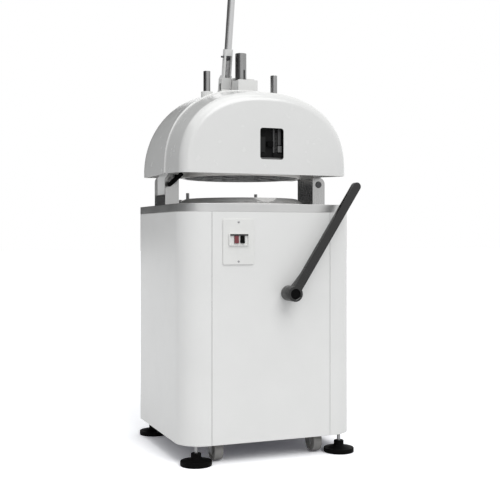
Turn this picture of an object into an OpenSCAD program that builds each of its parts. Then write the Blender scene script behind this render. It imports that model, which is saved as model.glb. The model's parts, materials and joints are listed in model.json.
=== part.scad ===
// Divider rounder: presses a dough plate, divides the dough and rounds the pieces.
// Millimetres, +Z up. The origin is on the floor, under the middle of the machine's outline.
// "ram" places are counted from the ram's axis, "body" places from the cabinet's middle.

/* [Cabinet] */
// Width of the cabinet and the worktop
body_w = 660; // [600:5:760]
// Depth of the cabinet and the worktop
body_d = 588; // [560:2:680]
// Height of the cabinet's lower edge above the floor
body_bottom = 67; // [62:1:80]
// Height of the worktop above the floor
worktop_z = 900; // [880:5:960]
// Height of the worktop's folded rim
worktop_rim = 29; // [22:1:40]
// Thickness of the worktop sheet
worktop_t = 3; // [2:0.5:5]
// Thickness of the cabinet panels
panel_t = 2; // [1:0.5:3]
// Radius of the front corners
front_corner_r = 91; // [70:1:96]
// Radius of the back corners
back_corner_r = 38; // [28:1:60]
// Width of the flat front and back panels
flat_panel_w = 451; // [400:1:460]
// Gap at the panel seams
seam_gap = 1; // [0.5:0.1:2]
// Thickness of the base plate
base_t = 6; // [4:1:10]
// Side of the square corner posts
corner_post = 40; // [30:5:50]
// Distance of the corner posts from the cabinet's sides
corner_in = 70; // [60:1:90]
// Distance of the ram's axis behind the cabinet's middle
ram_back = 16; // [6:1:24]

/* [Feet and casters] */
// Diameter of a foot pad
foot_d = 110; // [90:1:120]
// Height of a foot pad's rim
foot_rim = 16; // [12:1:18]
// Diameter of a foot pad's boss
foot_boss_d = 36; // [30:1:44]
// Height of a foot pad
foot_h = 42; // [36:1:48]
// Diameter of a foot stem
stem_d = 12; // [10:1:16]
// Distance of the stems from the cabinet's sides
foot_in_x = 56; // [54:1:64]
// Distance of the stems from the cabinet's front and back
foot_in_y = 27; // [24:1:34]
// Diameter of a caster wheel
wheel_d = 80; // [70:1:84]
// Width of a caster wheel
wheel_w = 32; // [26:1:36]
// Height of the wheels above the floor while the feet carry the machine
wheel_lift = 3; // [2:1:6]
// Distance of the casters from the cabinet's sides
wheel_in_x = 140; // [134:1:160]
// Distance of the casters from the cabinet's front and back
wheel_in_y = 65; // [62:1:94]
// Diameter of a caster axle
axle_d = 12; // [10:1:14]

/* [Posts] */
// Reach of a post beyond the dome's side
post_out = 2; // [-8:1:7]
// Width of a post
post_w = 52; // [48:1:58]
// Depth of a post
post_d = 139; // [120:1:150]
// Height of a post
post_h = 112; // [106:1:113]
// Thickness of the post plates
post_t = 6; // [4:0.5:8]
// Distance of the posts' middle in front of the ram
post_ahead = 2.5; // [0:0.5:10]
// Diameter of the hinge pin
pin_d = 25; // [20:1:28]
// Distance of the hinge pin from the dome's side
pin_in = 25; // [22:1:27]
// Height of the hinge pin above the worktop
pin_h = 85; // [80:1:88]
// Diameter of the clamp stud
stud_d = 12; // [10:1:14]
// Length of the clamp lever beyond its hub
clamp_up = 33; // [30:1:50]
// Length of the clamp lever's short end
clamp_down = 24; // [20:1:32]
// Angle of the clamp lever from level
clamp_lean = 41; // [20:1:60]

/* [Head covers] */
// Width of the dome
dome_w = 640; // [600:1:656]
// Height of the dome's lower edge above the worktop
dome_gap = 115; // [115:1:130]
// Height of the dome at the seam between the covers
dome_h = 318; // [300:1:340]
// Height of the dome's straight sides
dome_side = 17; // [10:1:40]
// Power of the front cover's arch, 2 for an ellipse
front_power = 2.3; // [2:0.05:2.7]
// Power of the rear cover's arch at its back
rear_power = 2; // [2:0.05:2.6]
// Rise of the rear cover's crown from the seam to its back
rear_rise = 25; // [0:1:35]
// Distance by which the dome's face lies nearer the ram than its sides
dome_front_in = 52; // [40:1:64]
// Distance by which the dome's back lies nearer the ram than its sides
dome_back_in = 88; // [70:1:90]
// Distance of the seam between the covers in front of the ram
cover_seam = 55; // [50:1:70]
// Drop of the front cover's crown from the seam to its face
front_drop = 34; // [20:1:60]
// Fall of the front cover's lower edge from the seam to its face
front_dip = 8; // [0:1:14]
// Rounding of the front cover's edge, up and to the sides
front_round = 34; // [14:1:44]
// Rounding of the front cover's edge, along the cover
front_soft = 42; // [26:1:76]
// Rounding of the rear cover's edge
rear_round = 6; // [4:1:12]
// Thickness of the covers
cover_t = 3; // [2:0.5:3.5]
// Width of the window in the front cover
window_w = 91; // [70:1:100]
// Height of the window
window_h = 112; // [90:1:120]
// Distance of the window's middle to the right of the ram
window_x = 16; // [0:1:30]
// Height of the window's sill above the dome's lower edge
window_sill = 45; // [36:1:50]
// Corner radius of the window
window_r = 10; // [6:1:16]

/* [Press] */
// Diameter of the ram
ram_d = 43; // [40:1:44]
// Height of the ram above the dome
ram_rise = 151; // [130:1:170]
// Stroke of the ram
ram_stroke = 53; // [45:1:55]
// Diameter of the guide rods
rod_d = 26; // [22:1:30]
// Distance between the guide rods
rod_gap = 275; // [260:1:290]
// Height of the guide rods above the dome
rod_rise = 76; // [60:1:90]
// Diameter of the guide sleeves
sleeve_d = 44; // [38:1:50]
// Distance of the press ring from the dome's side
ring_in = 95; // [94:1:105]
// Thickness of the press ring
ring_t = 10; // [8:1:12]
// Height of the press ring
ring_h = 90; // [84:1:92]
// Reach of the press ring below the dome
ring_drop = 10; // [8:1:16]
// Height of the divider knives
knife_h = 41; // [34:1:44]
// Thickness of the divider knives
knife_t = 2; // [1.5:0.5:3]
// Gap between a knife and a press segment
knife_gap = 1; // [0.6:0.1:1.5]
// Number of dough pieces in the inner, middle and outer rows
row_counts = [4, 10, 16]; // [2:1:24]
// Thickness of the head plate
head_plate_t = 12; // [10:1:14]

/* [Press lever] */
// Distance of the lever to the left of the ram
lever_x = 40; // [40:1:48]
// Lean of the lever towards the front
lever_lean = 11; // [6:1:14]
// Length of the lever from its pivot
lever_len = 700; // [500:5:800]
// Diameter of the lever tube
tube_d = 28; // [24:1:30]
// Wall of the lever tube
tube_t = 3; // [2:0.5:4]
// Length of the grip
grip_len = 125; // [90:1:160]
// Diameter of the grip
grip_d = 36; // [32:1:42]
// Depth of the pivot below the top of the dome
pivot_low = 3; // [0:1:6]
// Diameter of the pinion shaft
pinion_shaft_d = 24; // [20:1:26]
// Wire of the latch spring
spring_wire = 3.2; // [2.4:0.1:3.6]
// Outer diameter of the latch spring
spring_d = 19; // [17:0.5:20]
// Number of curls in the latch spring
spring_turns = 13; // [8:1:15]
// Travel of the latch
latch_travel = 8; // [4:1:8]

/* [Rounding table] */
// Distance of the rounding table's rim from the dome's side
table_in = 80; // [75:1:90]
// Height of the table's rim above the worktop
table_h = 26; // [22:1:32]
// Thickness of the table's rim
table_rim = 8; // [5:1:10]
// Thickness of the table's floor
table_floor = 6; // [5:1:8]
// Radius of the rounding movement
throw = 8; // [5:1:10]
// Width of the finger notch in the rim
notch_w = 93; // [70:1:110]
// Depth of the finger notch
notch_h = 17; // [12:1:19]
// Diameter of the stop pins
stop_d = 13; // [10:1:16]
// Height of the stop pins above the rim
stop_h = 31; // [20:1:40]
// Distance of the stop pins outside the table's rim
stop_out = 15; // [13:1:17]
// Angle of the stop pins from the table's back
stop_turn = 35; // [30:1:40]
// Lift of the table
table_lift = 10; // [6:1:10]

/* [Rounding lever] */
// Distance of the lever's shaft to the right of the ram
round_x = 59; // [56:1:64]
// Height of the lever's shaft above the floor
round_z = 585; // [575:1:600]
// Diameter of the lever's hub
round_hub_d = 54; // [48:1:60]
// Reach of the hub in front of the panel
round_out = 68; // [60:1:80]
// Length of the lever from its shaft to its end
round_len = 465; // [380:1:480]
// Lean of the lever to the right
round_lean = 32.7; // [20:0.1:35]
// Width of the lever's arm
round_w = 30; // [26:1:38]
// Thickness of the lever's arm
round_t = 20; // [12:1:22]
// Thickness of the lever's root at the shaft
root_t = 47; // [30:1:50]
// Length of the lever's root
root_len = 78; // [60:1:100]
// Diameter of the lever's shaft
round_shaft_d = 24; // [20:1:26]

/* [Switch] */
// Width of the switch plate
switch_w = 115; // [100:1:130]
// Height of the switch plate
switch_h = 158; // [140:1:170]
// Distance of the switch plate's middle to the left of the cabinet's middle
switch_x = 129.5; // [120:0.5:140]
// Height of the switch plate's middle above the floor
switch_z = 767; // [740:1:790]
// Thickness of the switch plate
switch_t = 5; // [3:0.5:6]
// Width of a button
button_w = 16; // [12:1:18]
// Height of a button
button_h = 26; // [20:1:30]
// Travel of a button
button_travel = 3; // [2:0.5:3]

/* [Drive] */
// Diameter of the drive pulley
pulley_d = 180; // [160:1:190]
// Diameter of the motor pulley
motor_pulley_d = 72; // [60:1:80]
// Width of the pulleys
pulley_w = 50; // [44:1:52]
// Width of the belt
belt_w = 25; // [20:1:30]
// Thickness of the belt
belt_t = 4; // [3:0.5:5]
// Diameter of the crankshaft
crank_d = 30; // [26:1:32]
// Distance of the motor from the cabinet's left side
motor_in = 130; // [120:1:135]
// Distance of the motor behind the ram
motor_y = 60; // [50:1:80]
// Diameter of the motor
motor_d = 150; // [130:1:156]
// Height of the motor's body
motor_h = 148; // [120:1:150]
// Diameter of the lift sleeve
lift_d = 56; // [50:1:60]
// Distance of the idler cranks from the drive's axis
idler_x = 120; // [110:1:126]

/* [Hidden] */
$fn = 96;
// Overrun of cuts, running clearance of pins, and clearance of pieces that are fixed together
over = 2;
run_gap = 0.05;
fit_gap = 0.2;
seat_gap = 0.3;

corner_t = 3;

// Places of the cabinet and the ram: the outline reaches from the lever's hub to the rear feet
foot_x = body_w / 2 - foot_in_x;
foot_y = body_d / 2 - foot_in_y;
body_y = (body_d / 2 + round_out - foot_y - foot_d / 2) / 2;
ram_y = body_y + ram_back;
panel_h = worktop_z - worktop_rim - body_bottom;
panel_in = body_w / 2 - panel_t - fit_gap;
face_y = -body_d / 2 - ram_back;

// Feet and casters
foot_cone_h = 9;
foot_cone_d = 92;
foot_socket = 24;
stem_boss_d = 28;
stem_boss_h = 22;
wheel_x = body_w / 2 - wheel_in_x;
wheel_y = body_d / 2 - wheel_in_y;
wheel_z = wheel_lift + wheel_d / 2;
wheel_tread = 9;
wheel_groove = 4;
hub_proud = 1;
wheel_hub_d = 30;
fork_side = 2;
fork_t = 4;
fork_w = 34;
fork_below = 14;
fork_flange = 18;
fork_over = 5;
well_x = wheel_w / 2 + fork_side + fork_t + fit_gap;
well_y = wheel_d / 2 - fork_t / 2;

// Posts, pin and clamp
post_in = dome_w / 2 + post_out - post_w;
post_front = -post_ahead - post_d / 2;
post_back = post_front + post_d;
post_round = 24;
web_drop = 4;
post_foot_h = 38;
pin_x = dome_w / 2 - pin_in;
pin_z = worktop_z + pin_h;
pin_proud = 3;
stud_z = pin_z + pin_proud;
clamp_hub_d = 28;
clamp_hub_t = 16;
clamp_gap = 2;
clamp_cap = 2;
stud_in = 4;
clamp_bar_w = 15;
clamp_bar_t = 12;
clamp_y = post_front - clamp_gap - clamp_hub_t;

// Dome
dome_front = dome_w / 2 - dome_front_in;
dome_back = dome_w / 2 - dome_back_in;
dome_z = worktop_z + dome_gap;
dome_top = dome_z + dome_h;
spring_z = dome_z + dome_side;
cover_gap = 1;
arch_steps = 44;
round_steps = 5;
rear_steps = 3;
rear_round_steps = 2;
cover_top = dome_top + rear_rise;
window_z = dome_z + window_sill + window_h / 2;

// Press
ring_d = dome_w - 2 * ring_in;
ring_z = dome_z - ring_drop;
cross_t = 12;
cross_z = ring_z + ring_h;
knife_up = 1;
knife_z = ring_z + knife_up;
segment_up = 2;
press_plate_t = 8;
press_plate_z = knife_z + knife_h + segment_up;
press_hub_d = 90;
press_hub_h = 6;
press_stem_d = 20;
press_stem_h = 60;
press_stem_room = 32;
grid_r = ring_d / 2 - ring_t - seat_gap;
hoop_t = 2.5;
row_r = [for (i = [0:2]) (grid_r - hoop_t) * sqrt(sum(row_counts, i) / sum(row_counts, 2))];
ram_top = dome_top + ram_rise;
rod_top = dome_top + rod_rise;
sleeve_drop = 2;
sleeve_top = dome_top - sleeve_drop;
head_gap = 13;
head_z = cross_z + cross_t + head_gap;
head_top = head_z + head_plate_t;
head_front_in = 88;
head_back_in = 32;
head_front = dome_front - head_front_in;
head_back = dome_back - head_back_in;
head_half = arch_x(head_top, rear_section(head_back, cover_t)) - seat_gap;
head_nose = arch_x(head_top, front_section(-head_front, cover_t, 0)) - seat_gap;
lug_w = 30;
lug_side = 6;
lug_low = 13;
lug_front = post_front + post_t + lug_side;
lug_back = post_back - post_t - lug_side;
slot_side = 2;
ram_slot_w = 8;
ram_slot_depth = 6;
ram_slot_h = 95;
ram_slot_turn = 16;
ram_slot_top = 64;

// Scale and slider in the window
scale_margin = 12;
scale_t = 4;
scale_back = 26;
scale_y = -dome_front + cover_t + scale_back;
rail_w = 4;
rail_t = 6;
rail_x = 14;
slider_h = 20;
slider_t = 11;
slider_travel = 30;
tongue_w = 60;

// Press lever, rack and pinion
tooth_module = 5;
pinion_teeth = 20;
pitch_r = tooth_module * pinion_teeth / 2;
tooth_pitch = PI * tooth_module;
tip_share = 0.8;
root_share = 1.3;
tooth_half_share = 0.22;
pressure_angle = 20;
tooth_add = tip_share * tooth_module;
tooth_ded = root_share * tooth_module;
flank = tan(pressure_angle);
rack_flat = 1.5;
rack_y = ram_d / 2 - tooth_add - rack_flat;
rack_bottom = 5.5;
rack_w = 24;
pinion_w = 22;
rack_low = -2;
rack_high = ceil(ram_stroke / tooth_pitch) + 1;
sector_low = -1;
sector_high = ceil(ram_stroke / tooth_pitch);
pivot_y = rack_y + pitch_r;
pivot_z = dome_top - pivot_low;
neck_w = 33;
neck_d = 32;
neck_r = 7;
neck_top = 178;
hub_r = 30;
hub_left = 23;
shoulder = 78;
shoulder_slant = 14;
shoulder_d = 44;
tube_from = 156;
slot_w = 22;
slot_low = 71;
slot_high = 153.5;
slot_deep = 11;
plunger_d = 9;
plunger_tip = 38;
collar_d = 18;
collar_t = 4;
collar_low = 140;
cross_pin_d = 7;
cross_pin_out = 10;
plunger_head_w = 12;
plunger_head_h = 9;
cross_pin_w = collar_low + collar_t + plunger_head_h / 2;
grip_over = 12;
grip_end = 6;

// Gear housing
lever_side = 1.5;
house_l = neck_w / 2 + lever_side - lever_x;
house_r = 66;
house_side = 56;
house_wall = 9;
house_ahead = 12.5;
house_behind = 6;
house_rise = 48;
house_cap_rise = 14;
house_front = -ram_d / 2 - house_ahead;
house_back = pivot_y + pitch_r + house_behind;
house_top = dome_top + house_rise;
house_cap = house_top + house_cap_rise;
house_step = 26;
house_step_t = 6;
hatch_gap = 3;

// Rounding table, its drive and its lift
table_d = dome_w - 2 * table_in;
crank_x = -throw;
table_top = worktop_z + table_h;
table_skirt = 2;
table_hub_d = 90;
table_hub_z = worktop_z - worktop_rim - panel_t;
idler_boss_d = 44;
idler_boss_z = worktop_z - worktop_rim / 2;
table_z = worktop_z + 2 * table_skirt;
pin_cover = 4;
pin_top = table_z + table_floor - pin_cover;
drive_hole_room = 15;
drive_hole_d = 2 * (idler_x + idler_boss_d / 2 + throw + drive_hole_room);
notch_reach = 32;
notch_r = (notch_w * notch_w / 4 + notch_h * notch_h) / (2 * notch_h);
stop_x = (table_d / 2 + stop_out) * sin(stop_turn);
stop_y = (table_d / 2 + stop_out) * cos(stop_turn);
ear_d = 34;
ear_t = 12;
web_d = 80;
web_t = 16;
web_gap = 2;
web_z = table_hub_z - web_t - web_gap;
crank_pin_d = 24;
spider_t = 10;
spider_w = 56;
spider_z = web_z - web_gap - spider_t;
idler_d = 20;
idler_pin_d = 16;
idler_web_d = 52;
idler_web_t = 10;
idler_house_d = 36;
idler_house_h = 20;

// Rounding lever shaft, cam and bearings
cam_d = 48;
cam_offset = 10;
cam_start = -25;
cam_front = -54;
cam_back = -34;
cam_top = round_z + cam_offset * sin(cam_start) + cam_d / 2;
lift_low = cam_top + seat_gap;
lift_arm_t = 10;
lift_arm_x = 92;
bridge_t = 12;
bridge_room = 10;
bridge_z = lift_low + lift_arm_t + table_lift + bridge_room;
bridge_hole_gap = 2;
bridge_front = -110;
bridge_back = 130;
guide_d = 96;
guide_h = 160;
guide_flange_d = 150;
bush_d = 44;
bush_len = 34;
bush_flange = 76;
bush_flange_t = 6;
hanger_w = 48;
hanger_t = 12;
hanger_y = -100;
hanger_low = 26;
shaft_inset = 10;
shaft_room = 1;
hub_gap = 2;
arm_setback = 5;
root_side = 1;
root_end = root_len * (root_t - round_t / 2) / (root_t - round_t);
arm_plane = face_y - round_out + arm_setback;

// Pulleys, belt and motor
motor_x = body_w / 2 - motor_in;
pulley_room = 18;
pulley_top = round_z - round_shaft_d / 2 - table_lift - pulley_room;
shaft_proud = 2;
pulley_z = pulley_top - pulley_w;
pulley_hub_d = 60;
belt_z = pulley_z + (pulley_w - belt_w) / 2;
motor_shaft_d = 22;
motor_bore = 34;
motor_shaft_len = 32;
motor_flange_d = 170;
motor_flange_t = 12;
motor_cap_d = 130;
motor_cap_h = 15;
terminal_w = 80;
terminal_d = 36;
terminal_h = 70;

// Switch and gland
switch_r = 6;
frame_w = 74;
frame_h = 42;
frame_t = 7;
frame_up = 8;
button_gap = 0.4;
button_proud = 5;
button_step = 22;
button_turn = -9;
screw_d = 8;
screw_t = 2;
screw_pin_d = 4;
screw_in = 11;
gland_x = -150;
gland_z = 140;
gland_d = 30;
gland_t = 16;
gland_hole = 12;
gland_neck_d = 16;
gland_nut_in = 14;

// Sum of the first items of a list, up to index n
function sum(list, n) = n < 0 ? 0 : list[n] + sum(list, n - 1);
// Sections of the covers are [y, half width, top, power of the arch, dip of the lower edge];
// f is the rounding's share there
function front_section(y, inset, f) = let (ahead = max(0, -y - cover_seam) / (dome_front - cover_seam))
    [y, dome_w / 2 - inset - f, dome_top - inset - f - front_drop * ahead, front_power, front_dip * ahead];
function rear_section(y, inset, f = 0) = let (back = (y + cover_seam) / (dome_back + cover_seam))
    [y, dome_w / 2 - inset - f, dome_top - inset - f + rear_rise * back,
        front_power + (rear_power - front_power) * back, 0];
// Half width of a section at a height above its straight sides
function arch_x(z, section) = let (p = section[3], up = (z - spring_z) / (section[2] - spring_z))
    section[1] * pow(1 - pow(up, p), 1 / p);
// A section's [x, z] points from the right lower edge over the crown to the left
function arch(section, base) = let (half = section[1], rise = section[2] - spring_z, low = base - section[4])
    concat([[half, low]],
    [for (i = [0:arch_steps]) let (t = 180 * i / arch_steps, e = 2 / section[3])
        [half * sign(cos(t)) * pow(abs(cos(t)), e), spring_z + rise * pow(abs(sin(t)), e)]],
    [[-half, low]]);

module at_ram() translate([0, ram_y, 0]) children();
module at_body() translate([0, body_y, 0]) children();
module at_drive() translate([crank_x, ram_y, 0]) children();
module at_lever() translate([-lever_x, ram_y + pivot_y, pivot_z]) rotate([lever_lean, 0, 0]) children();
// Box between two corners
module span(low, high) translate(low) cube(high - low);
// Round bars along the three axes, from one end to the other
module bar_x(d, x0, x1, y, z) translate([x0, y, z]) rotate([0, 90, 0]) cylinder(d = d, h = x1 - x0);
module bar_y(d, y0, y1, x, z) translate([x, y1, z]) rotate([90, 0, 0]) cylinder(d = d, h = y1 - y0);
module bar_z(d, z0, z1, x, y) translate([x, y, z0]) cylinder(d = d, h = z1 - z0);
// Plate with round corners, drawn from its middle
module soft_square(w, h, r) {
    square([w, h - 2 * r], center = true);
    square([w - 2 * r, h], center = true);
    for (x = [-1, 1], y = [-1, 1]) translate([x * (w / 2 - r), y * (h / 2 - r)]) circle(r);
}
// A flat shape drawn in x and z, pushed from y1 back to y0
module upright(y0, y1) translate([0, y1, 0]) rotate([90, 0, 0]) linear_extrude(y1 - y0) children();

// Outline of the cabinet, inset by a wall
module plan(inset) {
    w = body_w / 2 - inset;
    d = body_d / 2 - inset;
    rf = front_corner_r - inset;
    rb = back_corner_r - inset;
    for (side = [-1, 1]) {
        translate([side * (w - rf), rf - d]) circle(rf);
        translate([side * (w - rb), d - rb]) circle(rb);
    }
    polygon([[rf - w, -d], [w - rf, -d], [w, rf - d], [w, d - rb], [w - rb, d], [rb - w, d], [-w, d - rb],
        [-w, rf - d]]);
}
module panel_ring() difference() {
    plan(0);
    plan(panel_t);
}
module panel_height() translate([0, 0, body_bottom]) linear_extrude(panel_h) children();
module side_panel(side) at_body() panel_height() intersection() {
    panel_ring();
    translate([side * (flat_panel_w + seam_gap + body_w) / 2, 0]) square([body_w, 2 * body_d], center = true);
}
module flat_panel(side) at_body() panel_height() intersection() {
    panel_ring();
    translate([0, side * body_d / 2]) square([flat_panel_w - seam_gap, body_d], center = true);
}

module left_side_panel() color("white") side_panel(-1);
module right_side_panel() color("white") side_panel(1);
module front_panel() color("white") difference() {
    flat_panel(-1);
    at_ram() bar_y(round_shaft_d + 2 * shaft_room, face_y - over, face_y + panel_t + over, round_x, round_z);
}
module back_panel() color("white") difference() {
    flat_panel(1);
    at_body()
        bar_y(gland_neck_d + 2 * run_gap, body_d / 2 - panel_t - over, body_d / 2 + over, gland_x, gland_z);
}
module cable_gland() color("dimgray") at_body() difference() {
    union() {
        translate([gland_x, body_d / 2 + gland_t, gland_z]) rotate([90, 0, 0])
            cylinder(d = gland_d, h = gland_t, $fn = 6);
        bar_y(gland_neck_d, body_d / 2 - gland_nut_in, body_d / 2 + gland_t, gland_x, gland_z);
    }
    bar_y(gland_hole, body_d / 2 - gland_t - over, body_d / 2 + gland_t + over, gland_x, gland_z);
}
module base_plate() color("gray") at_body() difference() {
    union() {
        translate([0, 0, body_bottom]) linear_extrude(base_t) plan(panel_t + fit_gap);
        for (x = [-1, 1], y = [-1, 1])
            intersection() {
                bar_z(stem_boss_d, body_bottom, body_bottom + base_t + stem_boss_h, x * foot_x, y * foot_y);
                translate([0, 0, body_bottom]) linear_extrude(panel_h) plan(panel_t + fit_gap);
            }
    }
    for (x = [-1, 1], y = [-1, 1]) {
        bar_z(stem_d + 2 * fit_gap, body_bottom - over, worktop_z, x * foot_x, y * foot_y);
        translate([x * wheel_x, y * wheel_y, body_bottom + base_t / 2])
            cube([2 * well_x, 2 * well_y, base_t + 2 * over], center = true);
    }
}
module corner_posts() color("gray") at_body() for (x = [-1, 1], y = [-1, 1])
    translate([x * (body_w / 2 - corner_in), y * (body_d / 2 - corner_in), body_bottom + base_t])
        linear_extrude(worktop_z - worktop_t - body_bottom - base_t) difference() {
            square(corner_post, center = true);
            square(corner_post - 2 * corner_t, center = true);
        }
module worktop() color("silver") difference() {
    at_body() difference() {
        translate([0, 0, worktop_z - worktop_rim]) linear_extrude(worktop_rim) plan(0);
        translate([0, 0, worktop_z - worktop_rim - over]) linear_extrude(worktop_rim + over - worktop_t)
            plan(worktop_t);
    }
    at_drive() bar_z(drive_hole_d, worktop_z - worktop_rim, worktop_z + over, 0, 0);
}

module at_feet() at_body() for (x = [-1, 1], y = [-1, 1]) translate([x * foot_x, y * foot_y, 0]) children();
module foot_pads() color("#202020") at_feet() difference() {
    union() {
        cylinder(d = foot_d, h = foot_rim);
        translate([0, 0, foot_rim]) cylinder(d1 = foot_cone_d, d2 = foot_boss_d, h = foot_cone_h);
        cylinder(d = foot_boss_d, h = foot_h);
    }
    translate([0, 0, foot_socket]) cylinder(d = stem_d + 2 * fit_gap, h = foot_h);
}
module foot_stems() color("silver") at_feet()
    bar_z(stem_d, foot_socket, body_bottom + base_t + stem_boss_h + stem_d, 0, 0);
module at_casters() at_body() for (x = [-1, 1], y = [-1, 1])
    translate([x * wheel_x, y * wheel_y, wheel_z]) children();
module caster_forks() color("dimgray") at_casters() difference() {
    union() {
        top = wheel_d / 2 + fork_over;
        leg_x = wheel_w / 2 + fork_side;
        flange_z = body_bottom + base_t - wheel_z;
        span([-leg_x - fork_t, -fork_w / 2, top], [leg_x + fork_t, fork_w / 2, top + fork_t]);
        for (side = [-1, 1]) {
            translate([side * (leg_x + fork_t / 2), 0, (top - fork_below) / 2])
                cube([fork_t, fork_w, top + fork_below], center = true);
            translate([side * (leg_x + (fork_t + fork_flange) / 2), 0, flange_z + fork_t / 2])
                cube([fork_t + fork_flange, fork_w, fork_t], center = true);
        }
    }
    bar_x(axle_d + 2 * run_gap, -wheel_w, wheel_w, 0, 0);
}
module caster_axles() color("silver") at_casters() {
    half = wheel_w / 2 + fork_side + fork_t;
    bar_x(axle_d, -half, half, 0, 0);
}
module caster_wheel(x, y) at_body() translate([x * wheel_x, y * wheel_y, wheel_z]) difference() {
    union() {
        rotate([0, 90, 0]) rotate_extrude() difference() {
            translate([0, -wheel_w / 2]) square([wheel_d / 2, wheel_w]);
            for (side = [-1, 1]) translate([wheel_hub_d / 2, side * wheel_w / 2 - wheel_groove])
                square([wheel_d / 2 - wheel_hub_d / 2 - wheel_tread, 2 * wheel_groove]);
        }
        bar_x(wheel_hub_d, -wheel_w / 2 - hub_proud, wheel_w / 2 + hub_proud, 0, 0);
    }
    bar_x(axle_d + 2 * run_gap, -wheel_w, wheel_w, 0, 0);
}
module caster_wheel_front_left() color("gray") caster_wheel(-1, -1);
module caster_wheel_front_right() color("gray") caster_wheel(1, -1);
module caster_wheel_rear_left() color("gray") caster_wheel(-1, 1);
module caster_wheel_rear_right() color("gray") caster_wheel(1, 1);

// One post, drawn on the right and mirrored for the left: two cheeks, an inner web and a foot block
module post_cheek() translate([post_in, worktop_z]) {
    square([post_w - post_round, post_h]);
    square([post_w, post_h - post_round]);
    translate([post_w - post_round, post_h - post_round]) circle(post_round);
}
module post(side) at_ram() mirror([side < 0 ? 1 : 0, 0, 0]) {
    upright(post_front, post_front + post_t) post_cheek();
    upright(post_back - post_t, post_back) post_cheek();
    span([post_in, post_front, worktop_z], [post_in + post_t, post_back, worktop_z + post_h - web_drop]);
    span([post_in, post_front, worktop_z], [post_in + post_w, post_back, worktop_z + post_foot_h]);
}
module left_post() color("silver") difference() {
    post(-1);
    at_ram() bar_y(stud_d + 2 * run_gap, post_front - over, post_back + over, -pin_x, stud_z);
}
module right_post() color("silver") difference() {
    post(1);
    at_ram() bar_y(pin_d + 2 * run_gap, post_front - over, post_back + over, pin_x, pin_z);
}
module hinge_pin() color("dimgray") at_ram()
    bar_y(pin_d, post_front - pin_proud, post_back + pin_proud, pin_x, pin_z);
module clamp_stud() color("dimgray") at_ram()
    bar_y(stud_d, clamp_y + stud_in, post_back + pin_proud, -pin_x, stud_z);
module clamp_lever() color("#181818") at_ram() difference() {
    union() {
        bar_y(clamp_hub_d, clamp_y, post_front - clamp_gap, -pin_x, stud_z);
        translate([-pin_x, 0, stud_z]) rotate([0, -clamp_lean, 0]) upright(clamp_y - clamp_bar_t, clamp_y) {
            translate([-clamp_down, -clamp_bar_w / 2]) square([clamp_up + clamp_down, clamp_bar_w]);
            for (x = [-clamp_down, clamp_up]) translate([x, 0]) circle(d = clamp_bar_w);
        }
    }
    bar_y(stud_d + 2 * run_gap, clamp_y + clamp_cap, post_front, -pin_x, stud_z);
}

// A closed dome shape over a list of sections
module dome_loft(sections, low) {
    rows = [for (s = sections) arch(s, low)];
    n = len(rows[0]);
    points = [for (i = [0:len(rows) - 1]) for (p = rows[i]) [p[0], sections[i][0], p[1]]];
    sides = [for (i = [0:len(rows) - 2]) for (j = [0:n - 1]) let (k = (j + 1) % n, a = i * n, b = a + n)
        each [[a + j, a + k, b + k], [a + j, b + k, b + j]]];
    first = [for (j = [n - 1:-1:0]) j];
    last = [for (j = [0:n - 1]) (len(rows) - 1) * n + j];
    polyhedron(points, concat(sides, [first, last]));
}
// Sections of the front cover from its rounded face to the seam, inset by a wall
function front_sections(inset, past) = concat(
    [for (i = [0:round_steps]) let (t = 90 * i / round_steps)
        front_section(-dome_front + inset + (front_soft - inset) * (1 - cos(t)), inset,
            (front_round - inset) * (1 - sin(t)))],
    [front_section(past - cover_seam - cover_gap / 2, inset, 0)]);
// Sections of the rear cover from the seam to its rounded back, inset by a wall
function rear_sections(inset, past) = let (r = rear_round - inset, y0 = cover_gap / 2 - cover_seam,
    y1 = dome_back - inset) concat([rear_section(y0 - past, inset)],
    [for (i = [1:rear_steps]) rear_section(y0 + (y1 - r - y0) * i / (rear_steps + 1), inset)],
    [for (i = [rear_round_steps:-1:0]) let (t = 90 * i / rear_round_steps)
        rear_section(y1 - r * (1 - cos(t)), inset, r * (1 - sin(t)))]);

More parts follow.
